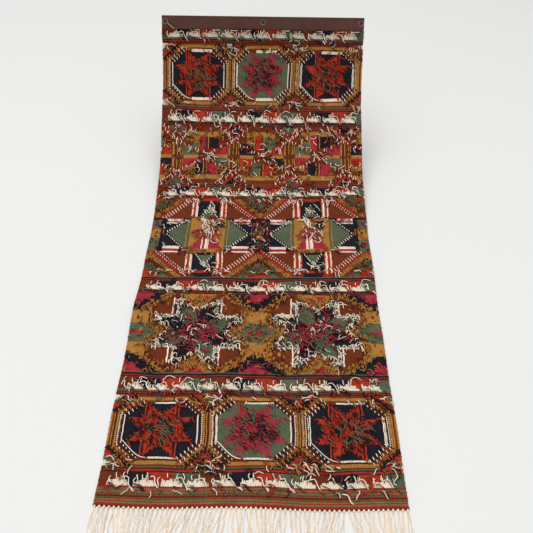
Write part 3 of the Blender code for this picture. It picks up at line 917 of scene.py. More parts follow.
# Woven hem border, listed from its top: lower edge in mm and yarn
hemRows = ((1263, "brown"), (1266, "hemRed"), (1268.5, "hemGreen"), (1271, "hemRed"),
           (1273.5, "hemGreen"), (1286, "hemRed"), (1288.5, "hemGreen"), (1291, "hemRed"),
           (1293.5, "hemGreen"), (1297, "hemRed"), (1300, "brown"))
# two rows of small green and dark arrows woven on the red: down, lean and yarn of each stroke
hemArrows = {
    "first": 2, "pitch": 4.1, "count": 122, "length": 3.6, "width": 1.8,
    "strokes": ((1275.6, 45, "hemGreen"), (1278.2, 135, "hemGreen"),
                (1281.2, 45, "darkBrown"), (1283.8, 135, "hemGreen")),
}


def hemBorder():
    edge = teeth["tops"][-1][1]
    for limit, yarn in hemRows:
        paintBlock(0, edge, clothWide, limit, yarn)
        edge = limit
    for k in range(hemArrows["count"]):
        for down, lean, yarn in hemArrows["strokes"]:
            floats.append((hemArrows["first"] + hemArrows["pitch"] * k, down, hemArrows["length"],
                           hemArrows["width"], lean, yarn))
    looseEnd(395, 1272, 38, 25, 28, "cream")        # the one long end that shows on the hem


# Bands down the cloth: lower edge in mm, rows of the mesh in the band
bandRows = ((28, 2), (54, 7), (70, 6), (224, 43), (237, 7), (264, 7), (277, 6), (439, 36), (450, 5),
            (474, 7), (484, 5), (552, 17), (676, 29), (757, 19), (771, 6), (799, 7), (811, 6), (1023, 48),
            (1036.5, 6), (1062.5, 7), (1076, 6), (1226, 42), (1237, 5), (1262, 7), (1263, 1), (1266, 1),
            (1268.5, 1), (1271, 1), (1273.5, 1), (1286, 4), (1288.5, 1), (1291, 1), (1293.5, 1),
            (1297, 1), (1300, 1))


def chartPattern():
    paintBlock(0, 0, clothWide, 32, "tape")         # under the heading tape
    latticeBand()
    for band in octagons["bands"]:
        octagonBand(*band)
    hexagonBand()
    starBand()
    for top, bottom in teeth["tops"]:
        toothBorder(top, bottom)
    stripes()
    hemBorder()


def rowEdges():
    edges, top = [0.0], 0.0
    for bottom, count in bandRows:
        edges += [top + (bottom - top) * (k + 1) / count for k in range(count)]
        top = bottom
    return np.array(edges) / 1000


def meshPiece(name, points, faces, faceYarns=None, loopPlaces=None, sharp=None):
    mesh = bpy.data.meshes.new(name)
    mesh.from_pydata([tuple(p) for p in points], [], faces)
    if faceYarns is not None:
        dyed = mesh.attributes.new("yarn", "FLOAT_COLOR", "FACE")
        shades = np.ones((len(faces), 4))
        shades[:, :3] = faceYarns
        dyed.data.foreach_set("color", shades.ravel())
    if loopPlaces is not None:
        layer = mesh.uv_layers.new(name="UVMap")
        layer.data.foreach_set("uv", np.asarray(loopPlaces, float).ravel())
    mesh.validate()
    mesh.shade_smooth()
    if sharp:
        mesh.set_sharp_from_angle(angle=math.radians(sharp))
    piece = bpy.data.objects.new(name, mesh)
    bpy.context.collection.objects.link(piece)
    return piece


# Painted shadow of the loose ends on the weave: how crowded they are over each millimetre of the cloth,
# shifted a little down and right, from 0 to 1
endShadowSettings = {"points": 12, "placedPoints": 24, "shadowShift": 1.0, "blurs": (1, 1, 2), "gain": 2.2}


def endShadowCover():
    cover = np.zeros(chart.shape)
    count, shift = endShadowSettings["points"], endShadowSettings["shadowShift"]
    paths = [smoothed(points, endShadowSettings["placedPoints"]) for points, yarn, rise in placed]
    for across, down, aim, turn, length, yarn, rise in ends:
        heading = np.radians(aim + turn * np.linspace(0, 1, count))
        paths.append(np.stack([across + np.cumsum(np.cos(heading)) * length / count,
                               down + np.cumsum(np.sin(heading)) * length / count], 1))
    for path in paths:
        columns = np.clip(path[:, 0] + shift, 0, clothWide - 1).astype(int)
        rows = np.clip(path[:, 1] + shift, 0, clothLong - 1).astype(int)
        cover[rows, columns] = 1.0
    for reach in endShadowSettings["blurs"]:
        for axis in (0, 1):
            cover = (np.roll(cover, reach, axis) + np.roll(cover, -reach, axis) + cover) / 3
    return np.clip(cover * endShadowSettings["gain"], 0, 1)


def makeCloth():
    down = rowEdges()
    count = cloth["columns"]
    across = np.linspace(0, cloth["width"], count + 1)
    grid = np.meshgrid(across, down)
    uneven = cloth["surfaceUneven"] * (np.sin(grid[0] * 410 + 3 * np.sin(grid[1] * 90))
                                       + np.sin(grid[1] * 330 + 2 * np.sin(grid[0] * 70)))
    uneven[:, 0] = uneven[:, -1] = uneven[0, :] = uneven[-1, :] = 0
    high = onCloth(grid[0], grid[1], cloth["thickness"] - cloth["faceSink"] + uneven)
    lowColumns = list(range(0, count, 2)) + [count]
    low = onCloth(grid[0][:, lowColumns], grid[1][:, lowColumns], 0.0)
    rows, lowCount = len(down), len(lowColumns)
    points = np.concatenate([high.reshape(-1, 3), low.reshape(-1, 3)])
    start = rows * (count + 1)
    faces, yarns = [], []

    def dye(column, row):
        a = min(int((column + 0.5) / count * clothWide), clothWide - 1)
        d = min(int((down[row] + down[row + 1]) / 2 * 1000), clothLong - 1)
        return chart[d, a]

    for i in range(rows - 1):
        for j in range(count):
            a = i * (count + 1) + j
            faces.append((a, a + count + 1, a + count + 2, a + 1))
            yarns.append(dye(j, i))
    for i in range(rows - 1):
        for j in range(lowCount - 1):
            a = start + i * lowCount + j
            faces.append((a, a + 1, a + lowCount + 1, a + lowCount))
            yarns.append(dye(lowColumns[j], i))
    for j in range(lowCount - 1):
        first, last = lowColumns[j], lowColumns[j + 1]
        faces.append([start + j + 1, start + j, *range(first, last + 1)])
        yarns.append(dye(first, 0))
        base, under = (rows - 1) * (count + 1), start + (rows - 1) * lowCount
        faces.append([under + j, under + j + 1, *range(base + last, base + first - 1, -1)])
        yarns.append(dye(first, rows - 2))
    for i in range(rows - 1):
        a, b = i * (count + 1), start + i * lowCount
        faces.append((b, b + lowCount, a + count + 1, a))
        yarns.append(dye(0, i))
        faces.append((b + 2 * lowCount - 1, b + lowCount - 1, a + count, a + 2 * count + 1))
        yarns.append(dye(count - 1, i))
    flat = np.concatenate([
        np.stack(grid, -1).reshape(-1, 2),
        np.stack([grid[0][:, lowColumns], grid[1][:, lowColumns]], -1).reshape(-1, 2)])
    flat = flat / (cloth["width"], cloth["length"])
    places = [flat[v] for face in faces for v in face]
    endShadow = endShadowCover()
    middles = [flat[list(face)].mean(axis=0) for face in faces]
    # the weave's colour under crowded loose ends is darkened: painted shadow
    paintedShade = [1 - cloth["paintedEndShadow"] * endShadow[min(int(v * clothLong), clothLong - 1),
                                              min(int(u * clothWide), clothWide - 1)]
              for u, v in middles]
    jitter = np.random.default_rng(5).normal(1.0, cloth["dyeSpread"], (len(faces), 1))
    shades = dyeTable[yarns] * jitter * np.array(paintedShade)[:, None]
    return meshPiece("woven_cloth", points, faces, shades, places, sharp=50)


# Many tubes joined in one piece, each with its points, the way up at each or at all of them,
# its radii and its yarn; the UV runs once round a tube and in centimetres along it
def yarnPiece(name, tubes, sides=5, flatten=0.8, shift=0.06):
    paths, ups, radii, yarns = zip(*tubes)
    paths, ups, radii = np.array(paths), np.array(ups), np.array(radii)
    if ups.ndim == 2:
        ups = ups[:, None]
    along = np.gradient(paths, axis=1)
    along /= np.linalg.norm(along, axis=2, keepdims=True)
    aside = np.cross(along, ups)
    aside /= np.linalg.norm(aside, axis=2, keepdims=True)
    over = np.cross(aside, along)
    turns = 2 * np.pi * np.arange(sides) / sides
    ringPoints = (paths[:, :, None] + radii[:, :, None, None]
                  * (np.cos(turns)[None, None, :, None] * aside[:, :, None]
                     + flatten * np.sin(turns)[None, None, :, None] * over[:, :, None]))
    count, steps = radii.shape
    points = ringPoints.reshape(-1, 3)
    lengths = np.concatenate([np.zeros((count, 1)), np.cumsum(
        np.linalg.norm(np.diff(paths, axis=1), axis=2), axis=1)], axis=1)
    faces, places, dyes = [], [], []
    noise = np.random.default_rng(count).normal(1.0, shift, (count, 1))
    shades = dyeTable[[yarnNumber[y] for y in yarns]] * noise
    for t in range(count):
        base = t * steps * sides
        for i in range(steps - 1):
            for k in range(sides):
                n = (k + 1) % sides
                a, b = base + i * sides, base + (i + 1) * sides
                faces.append((a + k, a + n, b + n, b + k))
                low, high = lengths[t, i] * 100, lengths[t, i + 1] * 100
                places += [(k / sides, low), ((k + 1) / sides, low),
                           ((k + 1) / sides, high), (k / sides, high)]
        faces.append(tuple(base + k for k in reversed(range(sides))))
        faces.append(tuple(base + (steps - 1) * sides + k for k in range(sides)))
        places += [(0.5, 0.0)] * (2 * sides)
        dyes += [shades[t]] * ((steps - 1) * sides + 2)
    return meshPiece(name, points, faces, np.array(dyes), places)


def upsAt(down):
    slope = slopeAt(down)
    return np.stack([np.zeros_like(slope), -np.sin(slope), np.cos(slope)], axis=-1)


# a float's share of its width, and its height in mm, at each of its points
floatSettings = {"radii": (0.45, 1.0, 1.0, 0.45), "bow": (0.1, 0.75, 0.75, 0.1)}


def makeFloats():
    steps = np.linspace(-0.5, 0.5, len(floatSettings["radii"]))
    rows = np.array([f[:5] for f in floats])
    lean = np.radians(rows[:, 4])[:, None]
    across = (rows[:, 0:1] + rows[:, 2:3] * steps * np.cos(lean)) / 1000
    down = (rows[:, 1:2] + rows[:, 2:3] * steps * np.sin(lean)) / 1000
    above = cloth["thickness"] + np.array(floatSettings["bow"]) / 1000
    paths = onCloth(across, down, np.broadcast_to(above, across.shape))
    radii = rows[:, 3:4] / 2000 * np.array(floatSettings["radii"])
    return yarnPiece("slope_floats", zip(paths, upsAt(down), radii, [f[5] for f in floats]), 4, 0.7)


# Colour joins are made in runs, their steps and overlap in mm, their lift and beads in metres
joinSettings = {"step": 3.2, "segments": 8, "overlap": 0.4, "lift": 0.0001, "bead": 0.00025}


def makeRidges():
    tubes = []
    segments = joinSettings["segments"]
    for across, top, bottom, yarn, width in ridges:
        top, bottom = sorted((top, bottom))
        high = bottom - top
        runs = max(int(round(high / (joinSettings["step"] * segments))), 1)
        wave = dice.uniform(0, 6)
        for r in range(runs):
            down = np.linspace(top + high * r / runs, top + high * (r + 1) / runs + joinSettings["overlap"],
                               segments + 1)
            side = across + 0.35 * np.sin(down * 0.31 + wave) + 0.25 * np.sin(down * 1.1 + 2 * wave)
            above = (cloth["thickness"] + joinSettings["lift"]
                     + joinSettings["bead"] * (1 + np.sin(down * 2.1 + wave)))
            tubes.append((onCloth(side / 1000, down / 1000, above), upsAt(down / 1000),
                          width / 2000 * (0.95 + 0.12 * np.sin(down * 1.9 + wave)), yarn))
    return yarnPiece("colour_joins", tubes, 6, 0.65)


# The weft's turns along both side edges: places, first and last down in mm, share of its
# height from one turn to the next, radius in metres and its share at each point
turnSettings = {"places": (0.6, 499.4), "top": 33.0, "bottom": 1298, "apart": 0.92,
                "radius": 0.0016, "radii": (0.55, 1, 1, 0.55)}


def makeSelvedges():
    tubes = []
    steps = np.linspace(0, 1, len(turnSettings["radii"]))
    for across, column in zip(turnSettings["places"], (2, clothWide - 3)):
        down = turnSettings["top"]
        while down < turnSettings["bottom"]:
            high = dice.uniform(2.6, 4.4)
            places = down + high * steps
            side = across + dice.uniform(-0.5, 0.5)
            radii = turnSettings["radius"] * dice.uniform(0.85, 1.15) * np.array(turnSettings["radii"])
            tubes.append((onCloth(side / 1000, places / 1000, cloth["thickness"] / 2),
                          upsAt(places / 1000), radii, yarnNames[chart[int(down + high / 2), column]]))
            down += high * turnSettings["apart"]
    return yarnPiece("side_turns", tubes, 6, 0.95)


endSettings = {
    "points": 8,
    "radius": 0.0009,
    "radii": (0.8, 1, 1, 1, 1, 1.05, 1.1, 0.75),
    "placedRadii": (0.8, 1, 1, 1, 1, 1.05, 1.15, 0.9),
    "rootLift": 0.0006,
    "wobble": 22,                  # degrees
    "pile": 0.0016,                # how much higher the topmost ends lie
    "clear": 1.5,                  # mm kept free at both side edges
    "top": 34.0,                   # mm down from which, and down to which, ends may lie
    "bottom": 1306.0,
}


# One end's points and the ways up there: it rises off its root, lies over others and comes down
def laidEnd(across, down, rise, settled):
    t = np.linspace(0, 1, endSettings["points"])
    u = np.clip(across, endSettings["clear"], clothWide - endSettings["clear"]) / 1000
    v = np.clip(down, endSettings["top"], endSettings["bottom"]) / 1000
    hump = np.sin(np.pi * np.minimum(t * settled, 1.0)) ** 0.8
    above = (cloth["thickness"] + endSettings["rootLift"] + 0.001 * rise * hump
             + endSettings["pile"] * dice.random() * np.minimum(t * 5, 1))
    return onCloth(u, v, above), upsAt(v)


def endTubes(rows):
    t = np.linspace(0, 1, endSettings["points"])
    tubes = []
    for across, down, aim, turn, length, yarn, rise in rows:
        phase, waves = dice.uniform(0, 6.3), dice.uniform(0.7, 1.4)
        bend = np.minimum(t / 0.75, 1.0)
        heading = np.radians(aim + turn * bend * bend * (3 - 2 * bend)
                             + endSettings["wobble"] * np.sin(2 * np.pi * waves * t + phase))
        step = length / (len(t) - 1)
        u = across + np.concatenate([[0], np.cumsum(np.cos(heading[:-1]))]) * step
        v = down + np.concatenate([[0], np.cumsum(np.sin(heading[:-1]))]) * step
        laid = laidEnd(u, v, rise, 1.15)
        thick = endSettings["radius"] * dice.uniform(0.85, 1.15)
        tubes.append((*laid, thick * np.array(endSettings["radii"]), yarn))
    return tubes


# A smooth line through the places between given points, in even steps
def smoothed(points, count):
    points = np.array(points, float)
    for k in range(2):
        near, far = points[:-1], points[1:]
        between = np.stack([0.75 * near + 0.25 * far, 0.25 * near + 0.75 * far], 1).reshape(-1, 2)
        points = np.concatenate([points[:1], between, points[-1:]])
    reach = np.concatenate([[0], np.cumsum(np.linalg.norm(np.diff(points, axis=0), axis=1))])
    steps = np.linspace(0, reach[-1], count)
    return np.stack([np.interp(steps, reach, points[:, k]) for k in (0, 1)], 1)


def placedTubes(rows):
    radii = endSettings["radius"] * np.array(endSettings["placedRadii"])
    lines = [smoothed(points, endSettings["points"]) for points, yarn, rise in rows]
    return [(*laidEnd(line[:, 0], line[:, 1], rise, 1.1), radii, yarn)
            for line, (points, yarn, rise) in zip(lines, rows)]


def trianglesIn(piece):
    return sum(len(face.vertices) - 2 for face in piece.data.polygons)


endGroups = {
    "ends_cream": ("cream", "tail", "straw"),
    "ends_red": ("red", "rose", "hemRed"),
    "ends_earth": ("gold", "brown", "darkBrown"),
    "ends_deep": ("navy", "green", "hemGreen"),
}


def makeEnds():
    made = []
    for name, yarns in endGroups.items():
        tubes = endTubes([end for end in ends if end[5] in yarns])
        tubes += placedTubes([end for end in placed if end[1] in yarns])
        made.append(yarnPiece(name, tubes, 5, 0.85, 0.09))
        print("  ", name, len(tubes), "ends,", trianglesIn(made[-1]), "triangles")
    return made


chartPattern()
print("stage 2: the pattern is charted,", len(ends), "ends,", len(floats), "floats,", len(ridges), "joins")
wovenCloth = makeCloth()
slopeFloats = makeFloats()
colourJoins = makeRidges()
sideTurns = makeSelvedges()
looseEnds = makeEnds()
for piece in (wovenCloth, slopeFloats, colourJoins, sideTurns):
    print("  ", piece.name, trianglesIn(piece), "triangles")
print("stage 3: the cloth and its raised yarns are made")


# Heading tape: a plain tape sewn on over the cloth's top
tape = {
    "height": 0.032,
    "thickness": 0.0012,
    "gap": 0.0001,
    "inset": 0.0004,
    "columns": 120,
    "rows": 8,
    "uneven": 0.00025,
    "hemWave": 0.0006,
    "hemRipple": 0.0004,
    "rim": 0.62,                    # its edges' share of the thickness
}


def makeTape():
    share, fall = np.meshgrid(np.linspace(0, 1, tape["columns"] + 1), np.linspace(0, 1, tape["rows"] + 1))
    left, right = edgePlaces(fall * tape["height"])
    x = left + tape["inset"] + (right - left - 2 * tape["inset"]) * share
    z = -fall * (tape["height"] + tape["hemWave"] * np.sin(11 * share)
                 + tape["hemRipple"] * np.sin(63 * share))
    back = -(cloth["thickness"] + tape["gap"]) * np.ones_like(x)
    puff = tape["uneven"] * (np.sin(27 * share + 3 * fall) + 0.7 * np.sin(71 * share - 2 * fall))
    rim = np.clip(np.minimum(fall, 1 - fall) * 8, 0, 1)
    front = back - tape["thickness"] * (tape["rim"] + (1 - tape["rim"]) * rim) - puff * rim
    low = np.stack([x, back, z], -1)
    high = np.stack([x, front, z], -1)
    rows, columns = x.shape
    points = np.concatenate([high.reshape(-1, 3), low.reshape(-1, 3)])
    start = rows * columns
    faces = []
    for i in range(rows - 1):
        for j in range(columns - 1):
            a = i * columns + j
            faces.append((a, a + columns, a + columns + 1, a + 1))
            faces.append((start + a, start + a + 1, start + a + columns + 1, start + a + columns))
    for i in range(rows - 1):
        a, b = i * columns, (i + 1) * columns
        faces.append((start + a, start + b, b, a))
        a, b = a + columns - 1, b + columns - 1
        faces.append((start + b, start + a, a, b))
    for j in range(columns - 1):
        faces.append((start + j + 1, start + j, j, j + 1))
        a = (rows - 1) * columns + j
        faces.append((start + a, start + a + 1, a + 1, a))
    flat = np.stack([x, z], -1).reshape(-1, 2)
    flat = np.concatenate([flat, flat])
    places = [flat[v] for face in faces for v in face]
    return meshPiece("sewn_tape", points, faces, None, places, sharp=50)


# Small stitches along the tape's edges, thread that shows
stitches = {
    "run": 0.486,                   # from the first stitch to the last
    "pitch": 0.0072, "length": 0.0032, "inset": 0.0021, "off": 0.0002, "bow": 0.00035,
    "stray": 0.0004, "radius": 0.00032, "radii": (0.7, 1, 1, 0.7),
}


def makeStitches():
    tubes = []
    radii = stitches["radius"] * np.array(stitches["radii"])
    front = -(cloth["thickness"] + tape["gap"] + tape["thickness"] + stitches["off"])
    t = np.linspace(-0.5, 0.5, len(stitches["radii"]))
    arc = -stitches["bow"] * np.cos(np.pi * t)
    run, stray = stitches["run"], stitches["stray"]
    count = int(run / stitches["pitch"])
    for fall in (stitches["inset"], tape["height"] - stitches["inset"]):
        for k in range(count + 1):
            x = -run / 2 + run * k / count + dice.uniform(-stray, stray)
            lean = dice.uniform(-stray, stray)
            path = np.stack([x + stitches["length"] * t, front + arc, -fall + lean * t], -1)
            tubes.append((path, (0.0, -1.0, 0.0), radii, "darkBrown"))
    return yarnPiece("tape_stitches", tubes, 6, 1.0)


# Three curtain rings of bent wire, each sewn on with a few turns of thread
rings = {
    "places": (("left", -0.2395), ("centre", 0.0), ("right", 0.2395)),
    "outer": 0.0142,
    "wire": 0.0016,
    "drop": 0.0125,
    "tapeGap": 0.0003,
    "standOff": 0.0003,
    "joints": {"left": 230, "centre": 250, "right": 230},      # where the wire's ends meet, degrees
    "jointReach": 0.03,             # radians to either side
    "jointShare": 0.72,             # of the wire's thickness is left there
    # the thread that sews a ring on: degrees apart, each turn's arc in half circles, its start
    # in radians and the rest in metres
    "sewing": {"turns": 5, "apart": 9, "points": 9, "arc": 1.16, "start": 0.25, "off": 0.0003,
               "deep": 0.0002, "radius": 0.00026},
}
ringFront = (-(cloth["thickness"] + rings["tapeGap"] + tape["thickness"]) - rings["standOff"]
             - rings["wire"] / 2)
ringRadius = (rings["outer"] - rings["wire"]) / 2


def makeRing(name, x):
    bpy.ops.object.select_all(action="DESELECT")
    bpy.ops.mesh.primitive_torus_add(
        major_radius=ringRadius, minor_radius=rings["wire"] / 2, major_segments=72, minor_segments=18,
        location=(x, ringFront, -rings["drop"]), rotation=(math.pi / 2, 0, 0))
    ring = bpy.context.object
    ring.name = ring.data.name = "wire_" + name
    bpy.ops.object.transform_apply(location=True, rotation=True, scale=True)
    # the wire's two ends meet in a fine groove
    joint = math.radians(rings["joints"][name])
    spot = Vector((x + ringRadius * math.cos(joint), ringFront,
                   -rings["drop"] + ringRadius * math.sin(joint)))
    for v in ring.data.vertices:
        turn = math.atan2(v.co.z + rings["drop"], v.co.x - x) % (2 * math.pi)
        if abs(turn - joint) < rings["jointReach"]:
            v.co = spot + (v.co - spot) * rings["jointShare"]
    bpy.ops.object.shade_smooth()
    ring.select_set(False)
    return ring


def makeRingThread():
    tubes = []
    sewing = rings["sewing"]
    count, out = sewing["points"], rings["wire"] / 2 + sewing["off"]
    around = np.pi * (1.0 - np.linspace(0, 1, count)) * sewing["arc"] - sewing["start"]
    for name, x in rings["places"]:
        for k in range(sewing["turns"]):
            turn = math.radians(90 + (k - 2) * sewing["apart"])
            ray = np.array((math.cos(turn), 0.0, math.sin(turn)))
            centre = np.array((x, ringFront, -rings["drop"])) + ringRadius * ray
            path = (centre + out * np.cos(around)[:, None] * ray
                    + out * np.sin(around)[:, None] * np.array((0.0, -1.0, 0.0)))
            path[0, 1] = path[-1, 1] = ringFront + rings["wire"] / 2 + sewing["deep"]
            tubes.append((path, (math.sin(turn), 0.0, -math.cos(turn)),
                          np.full(count, sewing["radius"]), "darkBrown"))
    return yarnPiece("ring_thread", tubes, 6, 1.0)


sewnTape = makeTape()
tapeStitches = makeStitches()
wireRings = [makeRing(name, x) for name, x in rings["places"]]
ringThread = makeRingThread()


# Three thread ends at the left ring: start across and up, reach across and up, yarn, radius
tapeThreads = {
    "points": 12, "off": 0.0012, "bend": 0.0015, "bow": 0.0022, "sag": 0.0018,
    "ends": ((-0.2335, -0.0175, 0.017, -0.013, "straw", 0.0006),
             (-0.2330, -0.0170, 0.021, -0.006, "brown", 0.0006),
             (-0.2360, -0.0190, 0.008, -0.014, "darkBrown", 0.0005)),
}


def makeTapeEnds():
    tubes = []
    front = -(cloth["thickness"] + tape["thickness"] + tapeThreads["off"])
    count = tapeThreads["points"]
    t = np.linspace(0, 1, count)
    arch = np.sin(np.pi * t)
    for x, z, dx, dz, yarn, thick in tapeThreads["ends"]:
        path = np.stack([x + dx * t + tapeThreads["bend"] * np.sin(5 * t), front - tapeThreads["bow"] * arch,
                         z + dz * t - tapeThreads["sag"] * arch], -1)
        tubes.append((path, (0.0, -1.0, 0.0), np.full(count, thick), yarn))
    return yarnPiece("tape_thread_ends", tubes, 5, 1.0)


tapeEnds = makeTapeEnds()
print("stage 4: tape, stitches and rings are made")

# Fringe: the cream warp ends, drawn together in knots and lying on the surface
fringe = {
    "bundles": 65,
    "strands": 4,
    "points": 12,
    "firstKnot": 0.0020,
    "knotLength": 0.0046,
    "knotRadius": 0.0018,
    "knotRadii": (0.45, 0.85, 1.0, 0.95, 0.75, 0.4),
    "knotTilt": 0.0011,
    "knotUnder": 0.0012,            # how far knots start under the hem
    "knotLift": 0.0020,
    "knotArch": 0.0008,
    "knotFall": 0.0004,
    "rootInside": 0.0022,           # how far yarns start inside their knot
    "rootApart": 0.0006,
    "rootLift": 0.0012,
    "layer": 0.0011,                # how high the topmost yarns lie
    "sides": (-0.2535, 0.2550),
    "strandRadius": 0.00042,
    "strandLength": 0.0975,
    "lengthSpread": 0.004,
    "lean": 0.055,
    "leanWave": 0.62,
    "leanStart": 0.9,
    "sway": 0.0016,
    "swayWave": 0.34,
    "spread": 0.0050,
    "stray": 0.0044,
    "lockSize": 4,                  # knots whose yarns drift the same way
    "lockDrift": 0.020,
    "wave": 0.0030,
}


def hemAt(across):
    point = onCloth(across, cloth["length"], 0.0)
    return float(point[0]), float(point[1])


def makeFringe():
    knots, strands, upward = [], [], (0.0, 0.0, 1.0)
    t = np.linspace(0, 1, fringe["points"])
    s = np.linspace(0, 1, len(fringe["knotRadii"]))
    knotRadii = fringe["knotRadius"] * np.array(fringe["knotRadii"])
    usable = cloth["width"] - 2 * fringe["firstKnot"]
    for b in range(fringe["bundles"]):
        across = fringe["firstKnot"] + usable * b / (fringe["bundles"] - 1)
        x, y = hemAt(across)
        tilt = dice.uniform(-fringe["knotTilt"], fringe["knotTilt"])
        high = (floorHeight + fringe["knotLift"] + fringe["knotArch"] * np.sin(np.pi * s)
                - fringe["knotFall"] * s)
        path = np.stack([x + tilt * (0.5 - s), y + fringe["knotUnder"] - fringe["knotLength"] * s, high], -1)
        knots.append((path, upward, knotRadii, "straw"))
        rootX, rootY = x - tilt * 0.3, y - fringe["knotLength"] + fringe["rootInside"]
        if b % fringe["lockSize"] == 0:
            drift = fringe["lockDrift"] * dice.uniform(-1, 1)
        for k in range(fringe["strands"]):
            place = k - (fringe["strands"] - 1) / 2
            lean = -fringe["lean"] * math.cos(2 * math.pi * x / fringe["leanWave"] + fringe["leanStart"])
            length = fringe["strandLength"] + fringe["lengthSpread"] * dice.uniform(-1, 0.6)
            aside = fringe["spread"] * place / 2 + dice.gauss(0, fringe["stray"])
            waves, phase = dice.uniform(0.6, 1.5), dice.uniform(0, 6.3)
            sway = fringe["sway"] * np.sin(2 * np.pi * (0.9 * t + x / fringe["swayWave"]))
            px = (rootX + fringe["rootApart"] * place + lean * length * t + (sway + drift) * t
                  + aside * t ** 0.8
                  + fringe["wave"] * np.sin(2 * np.pi * waves * t + phase) * np.minimum(3 * t, 1))
            py = rootY - (length - 0.0045) * t
            layer = fringe["layer"] * dice.random()
            pz = (floorHeight + fringe["strandRadius"] + layer * np.sin(np.pi * np.minimum(1.2 * t, 1))
                  + fringe["rootLift"] * (1 - np.minimum(6 * t, 1)))
            radii = (fringe["strandRadius"] * dice.uniform(0.8, 1.15)
                     * np.linspace(1.05, 0.85, fringe["points"]))
            strands.append((np.stack([np.clip(px, *fringe["sides"]), py, pz], -1), upward, radii, "straw"))
    return (yarnPiece("warp_knots", knots, 8, 0.85, 0.03),
            yarnPiece("warp_fringe", strands, 5, 1.0, 0.09))


warpKnots, warpFringe = makeFringe()
print("stage 5: the fringe is made")


def addNode(tree, kind, settings=None, inputs=None):
    node = tree.nodes.new(kind)
    for key, value in (settings or {}).items():
        setattr(node, key, value)
    for key, value in (inputs or {}).items():
        if isinstance(value, bpy.types.NodeSocket):
            tree.links.new(value, node.inputs[key])
        else:
            node.inputs[key].default_value = value
    return node


def newMaterial(name, roughness, specular=0.5, metallic=0.0):
    material = bpy.data.materials.new(name)
    material.use_nodes = True
    shader = material.node_tree.nodes["Principled BSDF"]
    shader.inputs["Roughness"].default_value = roughness
    shader.inputs["Metallic"].default_value = metallic
    shader.inputs["Specular IOR Level"].default_value = specular
    return material, material.node_tree, shader


# Bumps a surface by a height, then shades its colour by each range in turn: the node whose
# values run over it, its two ends, the shade at each of them and the way between
def finishSurface(tree, shader, height, bump, colour, ranges):
    relief = addNode(tree, "ShaderNodeBump", None, {**bump, "Height": height.outputs[0]})
    tree.links.new(relief.outputs[0], shader.inputs["Normal"])
    for node, low, high, dark, light, way in ranges:
        shade = addNode(tree, "ShaderNodeMapRange", {"interpolation_type": way},
                        {"Value": node.outputs[0], "From Min": low, "From Max": high,
                         "To Min": dark, "To Max": light})
        scaled = addNode(tree, "ShaderNodeVectorMath", {"operation": "SCALE"},
                         {0: colour, "Scale": shade.outputs[0]})
        colour = scaled.outputs[0]
    tree.links.new(colour, shader.inputs["Base Color"])


# Weft-faced tapestry weave in dyed wool: each warp cord raises a rib, the weft
# packs over it in short beads, and the yarns take the dye a little unevenly
weave = {"rib": 2.7, "weft": 1.5, "bump": 0.55, "bumpHeight": 0.0007}       # rib and weft in mm


def weaveMaterial():
    material, tree, shader = newMaterial("woven_wool", 0.95, specular=0.08)
    dye = addNode(tree, "ShaderNodeAttribute", {"attribute_name": "yarn"})
    places = addNode(tree, "ShaderNodeUVMap", {"uv_map": "UVMap"})
    mm = addNode(tree, "ShaderNodeMapping", {"vector_type": "POINT"},
                 {"Vector": places.outputs["UV"], "Scale": (clothWide, clothLong, 1.0)})
    parts = addNode(tree, "ShaderNodeSeparateXYZ", None, {0: mm.outputs[0]})
    column = addNode(tree, "ShaderNodeMath", {"operation": "DIVIDE"},
                     {0: parts.outputs["X"], 1: weave["rib"]})
    columnFloor = addNode(tree, "ShaderNodeMath", {"operation": "FLOOR"}, {0: column.outputs[0]})
    row = addNode(tree, "ShaderNodeMath", {"operation": "MULTIPLY_ADD"},
                  {0: columnFloor.outputs[0], 1: weave["weft"] / 2, 2: parts.outputs["Y"]})
    waves = []
    for place, width in ((parts.outputs["X"], weave["rib"]), (row.outputs[0], weave["weft"])):
        turns = addNode(tree, "ShaderNodeMath", {"operation": "MULTIPLY"}, {0: place, 1: math.pi / width})
        wave = addNode(tree, "ShaderNodeMath", {"operation": "SINE"}, {0: turns.outputs[0]})
        waves.append(addNode(tree, "ShaderNodeMath", {"operation": "ABSOLUTE"}, {0: wave.outputs[0]}))
    bead = addNode(tree, "ShaderNodeMath", {"operation": "MULTIPLY"},
                   {0: waves[0].outputs[0], 1: waves[1].outputs[0]})
    fuzz = addNode(tree, "ShaderNodeTexNoise", {"noise_dimensions": "2D"},
                   {"Vector": mm.outputs[0], "Scale": 0.9, "Detail": 3.0, "Roughness": 0.6})
    height = addNode(tree, "ShaderNodeMath", {"operation": "MULTIPLY_ADD"},
                     {0: fuzz.outputs[0], 1: 0.55, 2: bead.outputs[0]})
    broad = addNode(tree, "ShaderNodeTexNoise", {"noise_dimensions": "2D"},
                    {"Vector": mm.outputs[0], "Scale": 0.035, "Detail": 2.0})
    # slanted lighter and darker streaks where yarns of different dye lots were packed in
    slant = addNode(tree, "ShaderNodeMapping", None,
                    {"Vector": mm.outputs[0], "Rotation": (0.0, 0.0, 0.5), "Scale": (0.5, 0.15, 1.0)})
    lots = addNode(tree, "ShaderNodeTexNoise", {"noise_dimensions": "2D"},
                   {"Vector": slant.outputs[0], "Scale": 1.0, "Detail": 2.0})
    # the colour is darker in the hollows between ribs and beads and lighter on their tops: painted shade and
    # highlight; the other two ranges are a broad random tone and the dye lots
    finishSurface(tree, shader, height, {"Strength": weave["bump"], "Distance": weave["bumpHeight"]},
                  dye.outputs["Color"], ((height, 0.1, 1.2, 0.66, 1.18, "LINEAR"),
                                         (broad, 0.3, 0.7, 0.90, 1.08, "LINEAR"),
                                         (lots, 0.32, 0.68, 0.84, 1.14, "LINEAR")))
    return material
